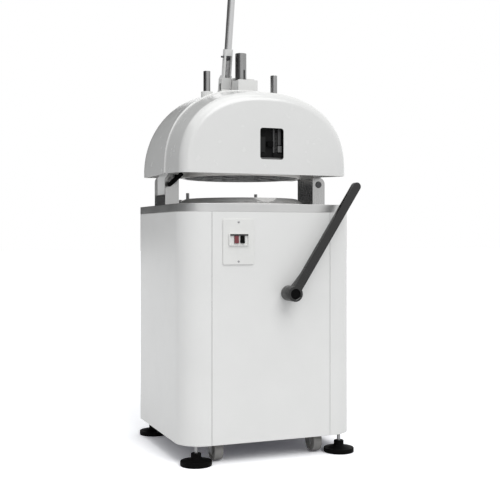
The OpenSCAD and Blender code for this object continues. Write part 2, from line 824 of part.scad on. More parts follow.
module front_cover() color("white") at_ram() difference() {
    dome_loft(front_sections(0, 0), dome_z);
    dome_loft(front_sections(cover_t, over), dome_z - over);
    upright(-dome_front - over, -dome_front + cover_t + over) translate([window_x, window_z])
        soft_square(window_w, window_h, window_r);
}
module rear_cover() color("white") at_ram() difference() {
    dome_loft(rear_sections(0, 0), dome_z);
    dome_loft(rear_sections(cover_t, over), dome_z - over);
    for (side = [-1, 1])
        bar_z(sleeve_d + 2 * seat_gap, head_top, cover_top + over, side * rod_gap / 2, 0);
    span([-lever_x - hub_left - hatch_gap, house_front - hatch_gap, head_top],
        [house_r + hatch_gap, house_back + hatch_gap, cover_top + over]);
}
module head_plate() color("gray") at_ram() difference() {
    union() {
        span([-head_half, -cover_seam, head_z], [head_half, head_back, head_top]);
        span([-head_nose, -head_front, head_z], [head_nose, -cover_seam, head_top]);
        span([window_x - tongue_w / 2, scale_y, head_z], [window_x + tongue_w / 2, -head_front, head_top]);
        for (side = [-1, 1]) mirror([side < 0 ? 1 : 0, 0, 0]) {
            span([pin_x - lug_w / 2, lug_front, side > 0 ? pin_z : stud_z - lug_low],
                [pin_x + lug_w / 2, lug_back, spring_z]);
            span([pin_x - lug_w / 2, lug_front, spring_z], [head_half, lug_back, head_z]);
        }
        bar_y(lug_w, lug_front, lug_back, pin_x, pin_z);
    }
    bar_y(pin_d + 2 * run_gap, post_front, post_back, pin_x, pin_z);
    bar_y(stud_d + 2 * slot_side, post_front, post_back, -pin_x, stud_z);
    span([-pin_x - stud_d / 2 - slot_side, post_front, stud_z - lug_low - over],
        [-pin_x + stud_d / 2 + slot_side, post_back, stud_z]);
    bar_z(ram_d + 2 * fit_gap, head_z - over, head_top + over, 0, 0);
    for (side = [-1, 1])
        bar_z(sleeve_d + 2 * run_gap, head_z - over, head_top + over, side * rod_gap / 2, 0);
}
module guide_sleeves() color("white") at_ram() for (side = [-1, 1]) translate([side * rod_gap / 2, 0, 0])
    difference() {
        bar_z(sleeve_d, head_z, sleeve_top, 0, 0);
        bar_z(rod_d + 2 * run_gap, head_z - over, sleeve_top + over, 0, 0);
    }
module gear_housing() color("white") at_ram() difference() {
    union() {
        span([house_l, house_front, head_top], [house_side, house_front + house_wall, house_top]);
        span([house_side - house_wall, house_front, head_top], [house_side, house_step, house_top]);
        span([house_side - house_wall, house_step, head_top],
            [house_r, house_step + house_step_t, house_cap]);
        span([house_r - house_wall, house_step, head_top], [house_r, house_back, house_cap]);
        span([house_l, house_back - house_wall, head_top], [house_r, house_back, house_cap]);
        span([house_l, house_step, head_top], [house_l + house_wall, house_back, house_cap]);
        span([house_l, house_front, house_top - house_wall], [house_side, house_step, house_top]);
        span([house_l, house_step, house_top - house_wall], [house_r, house_step + house_step_t, house_cap]);
        span([house_l, house_step, house_cap - house_wall], [house_r, house_back, house_cap]);
    }
    bar_z(ram_d + 2 * fit_gap, head_top, house_cap + over, 0, 0);
    bar_x(pinion_shaft_d + 2 * run_gap, house_l - over, house_r + over, pivot_y, pivot_z);
}
module portion_scale() color("#303030") at_ram() {
    span([window_x - window_w / 2 - scale_margin, scale_y - scale_t, window_z - window_h / 2 - scale_margin],
        [window_x + window_w / 2 + scale_margin, scale_y, window_z + window_h / 2 + scale_margin]);
    for (side = [-1, 1])
        translate([window_x + side * rail_x, scale_y - scale_t - rail_t / 2, window_z])
            cube([rail_w, rail_t, window_h], center = true);
}
module portion_slider() color("#181818") at_ram() {
    half = rail_x - rail_w / 2 - seat_gap;
    span([window_x - half, scale_y - scale_t - slider_t, window_z - slider_h / 2],
        [window_x + half, scale_y - scale_t - seat_gap, window_z + slider_h / 2]);
}

// Teeth of the rack's gaps and of the pinion, both drawn in y and z
module rack_gap(k) translate([-rack_w / 2, rack_y, pivot_z + k * tooth_pitch]) {
    half = tooth_pitch * (0.5 - tooth_half_share);
    rotate([90, 0, 90]) linear_extrude(rack_w) polygon([[-rack_bottom, -half + rack_bottom * flank],
        [-rack_bottom, half - rack_bottom * flank], [tooth_ded, half + tooth_ded * flank],
        [tooth_ded, -half - tooth_ded * flank]]);
}
module pinion_tooth(k) rotate([-k * 360 / pinion_teeth, 0, 0]) translate([-pinion_w / 2, 0, 0]) {
    half = tooth_pitch * tooth_half_share;
    root = tooth_ded - pitch_r + over;
    rotate([90, 0, 90]) linear_extrude(pinion_w) polygon([[root, -half - tooth_ded * flank],
        [root, half + tooth_ded * flank], [-pitch_r - tooth_add, half - tooth_add * flank],
        [-pitch_r - tooth_add, -half + tooth_add * flank]]);
}
module ram() color("silver") at_ram() difference() {
    bar_z(ram_d, cross_z, ram_top, 0, 0);
    bar_z(press_stem_d + 2 * run_gap, cross_z - over, cross_z + press_stem_h + press_stem_room, 0, 0);
    span([-ram_d, rack_y + tooth_add, pivot_z + (rack_low - 0.5) * tooth_pitch],
        [ram_d, ram_d, pivot_z + (rack_high + 0.5) * tooth_pitch]);
    for (k = [rack_low:rack_high]) rack_gap(k);
    rotate([0, 0, ram_slot_turn])
        span([-ram_slot_w / 2, -ram_d, ram_top - ram_slot_top - ram_slot_h],
            [ram_slot_w / 2, ram_slot_depth - ram_d / 2, ram_top - ram_slot_top]);
}
module pinion_shaft() color("gray") translate([0, ram_y + pivot_y, pivot_z]) {
    bar_x(pinion_shaft_d, -lever_x - hub_left - shaft_proud, house_r, 0, 0);
    bar_x(2 * (pitch_r - tooth_ded), -pinion_w / 2, pinion_w / 2, 0, 0);
    for (k = [sector_low:sector_high]) pinion_tooth(k);
}
// The lever's pieces are drawn upright on the pivot and leaned as one
module lever_head() color("white") at_lever() difference() {
    union() {
        bar_x(2 * hub_r, -hub_left, neck_w / 2, 0, 0);
        upright(-neck_d / 2, shoulder_d / 2) polygon([[-hub_left, 0], [neck_w / 2, 0], [neck_w / 2, shoulder],
            [-neck_w / 2, shoulder], [-hub_left, shoulder - shoulder_slant]]);
        linear_extrude(neck_top) soft_square(neck_w, neck_d, neck_r);
    }
    bar_x(pinion_shaft_d + 2 * run_gap, -lever_x, lever_x, 0, 0);
    bar_z(tube_d + 2 * run_gap, tube_from, neck_top + over, 0, 0);
    span([-slot_w / 2, -shoulder_d, slot_low], [slot_w / 2, slot_deep, slot_high]);
    bar_z(plunger_d + 2 * run_gap, plunger_tip - latch_travel - over, slot_high, 0, 0);
    span([-neck_w, -cross_pin_d / 2 - seat_gap, cross_pin_w - cross_pin_d / 2 - latch_travel - over],
        [0, cross_pin_d / 2 + seat_gap, cross_pin_w + cross_pin_d / 2 + over]);
}
module lever_tube() color("silver") at_lever() difference() {
    bar_z(tube_d, tube_from, lever_len - grip_end, 0, 0);
    bar_z(tube_d - 2 * tube_t, tube_from - over, lever_len, 0, 0);
}
module lever_grip() color("#202020") at_lever() difference() {
    union() {
        bar_z(grip_d, lever_len - grip_len, lever_len - grip_over, 0, 0);
        translate([0, 0, lever_len - grip_over])
            cylinder(d1 = grip_d, d2 = grip_d - grip_over, h = grip_over);
    }
    bar_z(tube_d + 2 * run_gap, lever_len - grip_len - over, lever_len - grip_end, 0, 0);
}
module latch_plunger() color("dimgray") at_lever() {
    bar_z(plunger_d, plunger_tip, collar_low, 0, 0);
    bar_z(collar_d, collar_low, collar_low + collar_t, 0, 0);
    translate([0, 0, cross_pin_w])
        cube([plunger_head_w, plunger_head_w, plunger_head_h], center = true);
    bar_x(cross_pin_d, -neck_w / 2 - cross_pin_out, -plunger_head_w / 2, 0, cross_pin_w);
}
// The spring is one wire tube: 8 rings to a curl, 6 sides
spring_rings = 8;
spring_sides = 6;
spring_mean = (spring_d - spring_wire) / 2;
spring_low = slot_low + spring_wire / 2 + seat_gap;
spring_high = collar_low - spring_wire / 2 - seat_gap;
spring_path = [for (i = [0:spring_turns * spring_rings]) let (t = 360 * i / spring_rings)
    [spring_mean * cos(t), spring_mean * sin(t),
        spring_low + (spring_high - spring_low) * i / (spring_turns * spring_rings)]];
spring_least = min([for (i = [0:len(spring_path) - 1]) for (j = [i + 4:len(spring_path) - 1])
    norm(spring_path[i] - spring_path[j])]) - spring_wire;
module latch_spring() color("gray") at_lever() {
    echo(latch_spring_least_gap = spring_least);
    last = len(spring_path) - 1;
    points = [for (i = [0:last]) for (k = [0:spring_sides - 1])
        let (a = 360 * k / spring_sides, p = spring_path[i], out = [p[0], p[1], 0] / spring_mean)
        p + spring_wire / 2 * (out * cos(a) + [0, 0, sin(a)])];
    walls = [for (i = [0:last - 1]) for (k = [0:spring_sides - 1]) let (m = (k + 1) % spring_sides,
        a = i * spring_sides, b = a + spring_sides) each [[a + k, b + k, b + m], [a + k, b + m, a + m]]];
    start = [for (k = [1:spring_sides - 2]) [0, k, k + 1]];
    end = [for (k = [1:spring_sides - 2]) last * spring_sides * [1, 1, 1] + [0, k + 1, k]];
    polyhedron(points, concat(walls, start, end));
}

module guide_rods() color("silver") at_ram() for (side = [-1, 1])
    bar_z(rod_d, cross_z, rod_top, side * rod_gap / 2, 0);
module crosshead() color("gray") at_ram() difference() {
    bar_z(ring_d, cross_z, cross_z + cross_t, 0, 0);
    bar_z(ram_d + 2 * run_gap, cross_z - over, cross_z + cross_t + over, 0, 0);
    for (side = [-1, 1])
        bar_z(rod_d + 2 * run_gap, cross_z - over, cross_z + cross_t + over, side * rod_gap / 2, 0);
}
module press_ring() color("tan") at_ram() difference() {
    bar_z(ring_d, ring_z, cross_z, 0, 0);
    bar_z(ring_d - 2 * ring_t, ring_z - over, cross_z + over, 0, 0);
}
// Knife walls between the dough pieces: two hoops and the radial walls of each row
module knife_grid(t) {
    for (i = [0:1]) difference() {
        circle(row_r[i] + t / 2);
        circle(row_r[i] - t / 2);
    }
    for (i = [0:2]) for (k = [0:row_counts[i] - 1]) rotate(360 * k / row_counts[i])
        translate([i == 0 ? 0 : row_r[i - 1], -t / 2]) square([row_r[i] - (i == 0 ? 0 : row_r[i - 1]), t]);
}
module divider_knives() color("silver") at_ram() translate([0, 0, knife_z]) linear_extrude(knife_h) {
    knife_grid(knife_t);
    difference() {
        circle(grid_r);
        circle(grid_r - hoop_t);
    }
}
module press_segments() color("whitesmoke") at_ram() {
    segment_r = grid_r - hoop_t - knife_gap;
    low = knife_z + segment_up;
    translate([0, 0, low]) linear_extrude(press_plate_z - low) difference() {
        circle(segment_r);
        knife_grid(knife_t + 2 * knife_gap);
    }
    bar_z(2 * segment_r, press_plate_z, press_plate_z + press_plate_t, 0, 0);
    bar_z(press_hub_d, press_plate_z, press_plate_z + press_plate_t + press_hub_h, 0, 0);
    bar_z(press_stem_d, press_plate_z, cross_z + press_stem_h, 0, 0);
}

module rounding_table() color("silver") at_ram() difference() {
    union() {
        bar_z(table_d, table_z - table_skirt, table_z + table_floor, 0, 0);
        difference() {
            bar_z(table_d, table_z, table_top, 0, 0);
            bar_z(table_d - 2 * table_rim, table_z, table_top + over, 0, 0);
        }
        bar_z(table_hub_d, table_hub_z, table_z, 0, 0);
        for (side = [-1, 1]) {
            bar_z(idler_boss_d, idler_boss_z, table_z, side * idler_x, 0);
            difference() {
                bar_z(ear_d, table_top - ear_t, table_top, side * stop_x, stop_y);
                bar_z(table_d - table_rim, table_top - ear_t - over, table_top + over, 0, 0);
            }
        }
    }
    bar_z(crank_pin_d + 2 * run_gap, table_hub_z - over, pin_top, 0, 0);
    for (side = [-1, 1]) {
        bar_z(idler_pin_d + 2 * run_gap, idler_boss_z - over, pin_top, side * idler_x, 0);
        bar_z(stop_d + 2 * run_gap, table_top - ear_t, table_top + over, side * stop_x, stop_y);
    }
    bar_y(2 * notch_r, -table_d / 2 - over, -table_d / 2 + notch_reach, 0, table_top - notch_h + notch_r);
}
module plate_pins() color("dimgray") at_ram() for (side = [-1, 1])
    bar_z(stop_d, table_top - ear_t, table_top + stop_h, side * stop_x, stop_y);
module crankshaft() color("gray") at_drive() {
    bar_z(crank_d, pulley_z - shaft_proud, web_z, 0, 0);
    bar_z(web_d, web_z, web_z + web_t, 0, 0);
    bar_z(crank_pin_d, web_z, table_z - pin_cover, throw, 0);
}
module idler_crank(side) at_drive() translate([side * idler_x, 0, 0]) {
    bar_z(idler_d, spider_z - idler_house_h, web_z, 0, 0);
    bar_z(idler_web_d, web_z, web_z + idler_web_t, 0, 0);
    bar_z(idler_pin_d, web_z, table_z - pin_cover, throw, 0);
}
module idler_crank_left() color("gray") idler_crank(-1);
module idler_crank_right() color("gray") idler_crank(1);
module lift_sleeve() color("gray") at_drive() difference() {
    union() {
        bar_z(lift_d, lift_low, spider_z + spider_t, 0, 0);
        span([0, cam_front, lift_low], [lift_arm_x - crank_x, cam_back + lift_d / 2, lift_low + lift_arm_t]);
        span([-idler_x - spider_w / 2, -spider_w / 2, spider_z],
            [idler_x + spider_w / 2, spider_w / 2, spider_z + spider_t]);
        for (side = [-1, 1]) bar_z(idler_house_d, spider_z - idler_house_h, spider_z, side * idler_x, 0);
    }
    bar_z(crank_d + 2 * run_gap, lift_low - over, worktop_z, 0, 0);
    for (side = [-1, 1])
        bar_z(idler_d + 2 * run_gap, spider_z - idler_house_h - over, worktop_z, side * idler_x, 0);
}
module guide_housing() color("gray") at_drive() difference() {
    union() {
        bar_z(guide_d, bridge_z + bridge_t, bridge_z + bridge_t + guide_h, 0, 0);
        bar_z(guide_flange_d, bridge_z + bridge_t, bridge_z + 2 * bridge_t, 0, 0);
    }
    bar_z(lift_d + 2 * run_gap, bridge_z, worktop_z, 0, 0);
}
module bearing_bridge() color("gray") at_ram() difference() {
    span([-panel_in, bridge_front, bridge_z], [panel_in, bridge_back, bridge_z + bridge_t]);
    bar_z(lift_d + 2 * bridge_hole_gap, bridge_z - over, bridge_z + bridge_t + over, crank_x, 0);
    translate([-motor_x, motor_y, 0])
        bar_z(motor_shaft_d + 2 * bridge_hole_gap, bridge_z - over, bridge_z + bridge_t + over, 0, 0);
}
module motor() color("steelblue") translate([-motor_x, ram_y + motor_y, bridge_z + bridge_t]) difference() {
    union() {
        cylinder(d = motor_flange_d, h = motor_flange_t);
        cylinder(d = motor_d, h = motor_h);
        cylinder(d = motor_cap_d, h = motor_h + motor_cap_h);
        span([-terminal_w / 2, 0, motor_h / 2 - terminal_h / 2],
            [terminal_w / 2, motor_d / 2 + terminal_d, motor_h / 2 + terminal_h / 2]);
    }
    bar_z(motor_shaft_d + 2 * run_gap, -over, motor_bore, 0, 0);
}
module motor_pulley() color("dimgray") translate([-motor_x, ram_y + motor_y, 0]) {
    bar_z(motor_pulley_d, pulley_z, pulley_top, 0, 0);
    bar_z(motor_shaft_d, pulley_top, bridge_z + bridge_t + motor_shaft_len, 0, 0);
}
module drive_pulley() color("dimgray") at_drive() difference() {
    union() {
        bar_z(pulley_d, pulley_z, pulley_top, 0, 0);
        bar_z(pulley_hub_d, pulley_z, pulley_top + shaft_proud, 0, 0);
    }
    bar_z(crank_d + 2 * run_gap, pulley_z - over, pulley_top + 2 * over, 0, 0);
}
// Outline of the belt's loop, away from the pulleys by a gap
module belt_loop(gap) hull() {
    translate([crank_x, 0]) circle(d = pulley_d + 2 * gap);
    translate([-motor_x, motor_y]) circle(d = motor_pulley_d + 2 * gap);
}
module drive_belt() color("#181818") at_ram() translate([0, 0, belt_z]) linear_extrude(belt_w) difference() {
    belt_loop(seat_gap + belt_t);
    belt_loop(seat_gap);
}

module lever_shaft() color("silver") at_ram() {
    bar_y(round_shaft_d, face_y - round_out + shaft_inset, cam_back, round_x, round_z);
    translate([cam_offset * cos(cam_start), 0, cam_offset * sin(cam_start)])
        bar_y(cam_d, cam_front, cam_back, round_x, round_z);
}
module shaft_bearings() color("gray") at_ram() difference() {
    union() {
        inner = face_y + panel_t;
        bar_y(bush_d, inner, inner + bush_len, round_x, round_z);
        span([round_x - bush_flange / 2, inner, round_z - bush_flange / 2],
            [round_x + bush_flange / 2, inner + bush_flange_t, round_z + bush_flange / 2]);
        span([round_x - hanger_w / 2, hanger_y, round_z - hanger_low],
            [round_x + hanger_w / 2, hanger_y + hanger_t, bridge_z]);
    }
    bar_y(round_shaft_d + 2 * run_gap, face_y, 0, round_x, round_z);
}
module rounding_lever() color("#202020") at_ram() difference() {
    union() {
        bar_y(round_hub_d, face_y - round_out, face_y - hub_gap, round_x, round_z);
        translate([round_x, 0, round_z]) rotate([0, round_lean, 0]) upright(arm_plane, arm_plane + round_t) {
            translate([-round_w / 2, 0]) square([round_w, round_len - round_w / 2]);
            translate([0, round_len - round_w / 2]) circle(d = round_w);
        }
        translate([round_x, arm_plane, round_z]) rotate([0, round_lean, 0])
            translate([-round_w / 2 + root_side, 0, 0]) rotate([90, 0, 90])
                linear_extrude(round_w - 2 * root_side)
                    polygon([[round_t / 2, 0], [root_t, 0], [round_t / 2, root_end]]);
    }
    bar_y(round_shaft_d + 2 * run_gap, face_y - round_out + shaft_inset - run_gap, face_y, round_x, round_z);
}

module at_switch() translate([-switch_x, body_y - body_d / 2, switch_z]) children();
module switch_plate() color("white") at_switch() difference() {
    upright(-switch_t, 0) soft_square(switch_w, switch_h, switch_r);
    for (side = [-1, 1])
        bar_y(screw_pin_d + 2 * run_gap, -switch_t - over, over, 0, side * (switch_h / 2 - screw_in));
}
module switch_screws() color("silver") at_switch() for (side = [-1, 1]) {
    bar_y(screw_d, -switch_t - screw_t, -switch_t, 0, side * (switch_h / 2 - screw_in));
    bar_y(screw_pin_d, -switch_t, 0, 0, side * (switch_h / 2 - screw_in));
}
module button_place(k) translate([button_turn + k * button_step, 0, frame_up]) children();
module switch_frame() color("silver") at_switch() difference() {
    upright(-switch_t - frame_t, -switch_t) translate([0, frame_up])
        soft_square(frame_w, frame_h, switch_r / 2);
    for (k = [0, 1]) button_place(k) upright(-switch_t - frame_t - over, over)
        square([button_w + 2 * button_gap, button_h + 2 * button_gap], center = true);
}
module button(k) at_switch() button_place(k)
    upright(-switch_t - frame_t - button_proud, -switch_t - button_travel - button_gap)
        square([button_w, button_h], center = true);
module stop_button() color("red") button(0);
module start_button() color("#202020") button(1);

base_plate();
corner_posts();
left_side_panel();
right_side_panel();
front_panel();
back_panel();
worktop();
foot_pads();
foot_stems();
caster_forks();
caster_axles();
caster_wheel_front_left();
caster_wheel_front_right();
caster_wheel_rear_left();
caster_wheel_rear_right();
left_post();
right_post();
hinge_pin();
clamp_stud();
clamp_lever();
bearing_bridge();
guide_housing();
motor();
motor_pulley();
drive_belt();
drive_pulley();
crankshaft();
lift_sleeve();
idler_crank_left();
idler_crank_right();
rounding_table();
plate_pins();
lever_shaft();
rounding_lever();
shaft_bearings();
switch_plate();
switch_screws();
switch_frame();
start_button();
stop_button();
head_plate();
front_cover();
rear_cover();
guide_sleeves();
gear_housing();
portion_scale();
portion_slider();
pinion_shaft();
lever_head();
lever_tube();
lever_grip();
latch_plunger();
latch_spring();
ram();
guide_rods();
crosshead();
press_ring();
divider_knives();
press_segments();
cable_gland();
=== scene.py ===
"""Divider rounder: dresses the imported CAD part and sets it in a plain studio."""

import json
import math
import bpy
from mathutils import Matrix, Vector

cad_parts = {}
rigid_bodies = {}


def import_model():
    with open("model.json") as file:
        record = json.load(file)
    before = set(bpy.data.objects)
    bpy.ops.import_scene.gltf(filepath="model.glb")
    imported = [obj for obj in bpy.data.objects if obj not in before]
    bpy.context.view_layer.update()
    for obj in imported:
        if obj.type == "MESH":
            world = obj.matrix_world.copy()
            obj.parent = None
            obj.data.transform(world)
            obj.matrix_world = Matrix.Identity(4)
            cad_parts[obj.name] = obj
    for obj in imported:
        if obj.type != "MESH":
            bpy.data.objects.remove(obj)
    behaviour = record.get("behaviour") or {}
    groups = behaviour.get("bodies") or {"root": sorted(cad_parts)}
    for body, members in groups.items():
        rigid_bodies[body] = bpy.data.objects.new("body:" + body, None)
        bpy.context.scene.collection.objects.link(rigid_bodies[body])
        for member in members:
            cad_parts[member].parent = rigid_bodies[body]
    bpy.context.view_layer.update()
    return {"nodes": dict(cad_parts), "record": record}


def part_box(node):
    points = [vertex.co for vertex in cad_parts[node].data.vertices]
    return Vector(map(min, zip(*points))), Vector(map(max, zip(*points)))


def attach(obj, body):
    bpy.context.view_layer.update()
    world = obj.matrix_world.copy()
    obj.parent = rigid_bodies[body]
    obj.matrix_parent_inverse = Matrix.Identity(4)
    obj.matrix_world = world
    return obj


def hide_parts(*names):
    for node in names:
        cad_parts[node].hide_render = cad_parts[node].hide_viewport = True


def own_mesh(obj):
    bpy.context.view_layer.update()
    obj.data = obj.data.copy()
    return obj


bl_info = {
    "name": "Divider Rounder",
    "version": (1, 0, 0),
    "blender": (4, 5, 0),
    "location": "3D View > Sidebar > Rounder",
    "description": "Dresses the divider rounder's CAD frame and sets up its studio",
    "category": "Object",
}

import bmesh
import bpy
from bpy.props import FloatProperty, FloatVectorProperty, IntProperty, PointerProperty
from mathutils import Matrix, Vector

for old in list(bpy.data.objects):
    bpy.data.objects.remove(old)
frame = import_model()

BEHAVIOUR = frame["record"]["behaviour"]
BODY_OF = {n: b for b, ns in BEHAVIOUR["bodies"].items() for n in ns}
MM = 0.001
# Overrun of cutters, and play between pieces that fit into each other
OVER = 0.002
PLAY = 0.0003
# How near CAD points are merged, and the angle up to which faces count as one flat face
MERGE_DISTANCE = 1e-5
FLAT_ANGLE = math.radians(0.4)


def middle(node):
    """Middle of a CAD node's box."""
    low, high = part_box(node)
    return (low + high) / 2


RAM = middle("guide_rods")
FRONT_LOW, FRONT_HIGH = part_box("front_cover")
REAR_LOW, REAR_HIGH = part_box("rear_cover")


class DomeSizes(bpy.types.PropertyGroup):
    """Shape of the two head covers."""

    power: FloatProperty(
        name="Front arch power", description="2 gives an ellipse", default=2.3, min=2, max=3)
    back_power: FloatProperty(
        name="Back arch power", description="Power at the rear cover's back", default=2.0, min=2, max=3)
    straight: FloatProperty(
        name="Straight side", description="Height below the arch", default=0.017, unit="LENGTH")
    drop: FloatProperty(
        name="Crown drop", description="Fall of the front cover's crown", default=0.034, unit="LENGTH")
    rise: FloatProperty(
        name="Crown rise", description="Rise of the rear cover's crown", default=0.025, unit="LENGTH")
    face_round: FloatProperty(
        name="Face rounding", description="Front rounding, up and to the sides", default=0.034,
        unit="LENGTH")
    face_soft: FloatProperty(
        name="Face softness", description="Front rounding, along the cover", default=0.042, unit="LENGTH")
    back_round: FloatProperty(
        name="Back rounding", description="Rear edge radius", default=0.006, unit="LENGTH")
    wall: FloatProperty(
        name="Wall", description="Sheet thickness", default=0.003, unit="LENGTH")
    bead: FloatProperty(
        name="Seam bead", description="Radius of the rolled lip", default=0.0038, unit="LENGTH")
    steps: IntProperty(
        name="Arch steps", description="Facets over the arch", default=120, min=24, max=240)


class LeverSizes(bpy.types.PropertyGroup):
    """Lean of the levers, and the latch's spring."""

    lean: FloatProperty(
        name="Press lever lean", description="Angle towards the front", default=math.radians(11),
        subtype="ANGLE")
    turns: IntProperty(
        name="Spring turns", description="Curls of the latch spring", default=13, min=6, max=15)
    clamp_lean: FloatProperty(
        name="Clamp lean", description="Angle of the clamp lever from level", default=math.radians(41),
        subtype="ANGLE")


class FinishColours(bpy.types.PropertyGroup):
    """Base colours of the finishes."""

    enamel: FloatVectorProperty(
        name="White enamel", description="Panels, covers and castings", subtype="COLOR", size=3,
        default=(0.80, 0.80, 0.785), min=0, max=1)
    steel: FloatVectorProperty(
        name="Stainless steel", description="Worktop and posts", subtype="COLOR", size=3,
        default=(0.60, 0.60, 0.595), min=0, max=1)
    bright: FloatVectorProperty(
        name="Bright steel", description="Ram, rods and tube", subtype="COLOR", size=3,
        default=(0.62, 0.62, 0.62), min=0, max=1)
    black: FloatVectorProperty(
        name="Black", description="Lever, feet and clamp", subtype="COLOR", size=3,
        default=(0.022, 0.022, 0.022), min=0, max=1)
    red: FloatVectorProperty(
        name="Stop button", description="Stop button", subtype="COLOR", size=3,
        default=(0.17, 0.026, 0.034), min=0, max=1)


# Finishes


def node_maker(tree):
    """A function that adds a node to a tree, and sets or links its inputs."""

    def make(kind, inputs=None, **settings):
        node = tree.nodes.new(kind)
        for key, value in settings.items():
            setattr(node, key, value)
        for key, value in (inputs or {}).items():
            if isinstance(value, bpy.types.NodeSocket):
                tree.links.new(value, node.inputs[key])
            else:
                node.inputs[key].default_value = value
        return node

    return make


def finish_tree(name):
    """A new material, its node maker and its Principled node's inputs."""
    material = bpy.data.materials.new(name)
    material.use_nodes = True
    tree = material.node_tree
    return material, node_maker(tree), tree.nodes["Principled BSDF"].inputs


def grain(make, scale, detail=3.0, stretch=(1, 1, 1), rough=0.5):
    """Noise on Object coordinates, stretched along an axis."""
    place = make("ShaderNodeTexCoord").outputs["Object"]
    mapped = make("ShaderNodeMapping", {"Vector": place, "Scale": stretch}).outputs["Vector"]
    noise = make("ShaderNodeTexNoise", {"Vector": mapped, "Scale": scale, "Detail": detail,
                                        "Roughness": rough})
    return noise.outputs["Fac"]


# Share of a noise's range that a finish uses
NOISE_LOW, NOISE_HIGH = 0.3, 0.7


def between(make, factor, low, high):
    """A number from low to high, following a noise."""
    spread = make("ShaderNodeMapRange", {"Value": factor, "From Min": NOISE_LOW, "From Max": NOISE_HIGH,
                                         "To Min": low, "To Max": high})
    return spread.outputs["Result"]


def shades(make, factor, colour, spread):
    """A colour that varies a little about its base."""
    ramp = make("ShaderNodeValToRGB", {"Fac": factor})
    for stop, place, change in zip(ramp.color_ramp.elements, (NOISE_LOW, NOISE_HIGH), (-spread, spread)):
        stop.position = place
        stop.color = (*[min(1, c * (1 + change)) for c in colour], 1)
    return ramp.outputs["Color"]


def link_surface(material, make, noises, colour, spread, rough, bump, depth):
    """Links colour drift, roughness and relief, each following its noise, to the Principled node."""
    drift, cloud, skin = noises
    links, surface = material.node_tree.links, material.node_tree.nodes["Principled BSDF"].inputs
    links.new(shades(make, drift, colour, spread), surface["Base Color"])
    links.new(between(make, cloud, *rough), surface["Roughness"])
    relief = make("ShaderNodeBump", {"Height": skin, "Strength": bump, "Distance": depth})
    links.new(relief.outputs["Normal"], surface["Normal"])


def paint(name, colour, rough=(0.30, 0.40), peel=0.02, peel_scale=420, coat=0.2, spread=0.012):
    """Sprayed enamel: faint colour drift, orange peel and a clear gloss."""
    material, make, surface = finish_tree(name)
    noises = grain(make, scale=7), grain(make, scale=24, detail=5), grain(make, peel_scale, detail=2)
    link_surface(material, make, noises, colour, spread, rough, bump=peel, depth=0.001)
    surface["Coat Weight"].default_value = coat
    surface["Coat Roughness"].default_value = 0.2
    return material


def brushed(name, colour, stretch, rough=(0.26, 0.38), streak=0.05, spread=0.05, metal=1.0):
    """Brushed or ground metal with streaks along one axis."""
    material, make, surface = finish_tree(name)
    lines = grain(make, scale=9, detail=6, stretch=stretch, rough=0.6)
    cloud = grain(make, scale=11, detail=4)
    both = make("ShaderNodeMath", {0: lines, 1: cloud}, operation="ADD").outputs["Value"]
    half = make("ShaderNodeMath", {0: both, 1: 0.5}, operation="MULTIPLY").outputs["Value"]
    link_surface(material, make, (half, half, lines), colour, spread, rough, bump=streak, depth=0.0005)
    surface["Metallic"].default_value = metal
    return material


def moulded(name, colour, rough=(0.42, 0.58), pores=0.08, pore_scale=900, spread=0.10, gloss=0.5):
    """Moulded plastic or rubber with a fine grain and faint scuffs."""
    material, make, surface = finish_tree(name)
    cloud, skin = grain(make, scale=30, detail=5), grain(make, pore_scale, detail=2)
    link_surface(material, make, (cloud, cloud, skin), colour, spread, rough, bump=pores, depth=0.0006)
    surface["Specular IOR Level"].default_value = gloss
    return material


FINISH = {}


def part_of(colour, share):
    """A darker tone of a colour."""
    return tuple(c * share for c in colour)


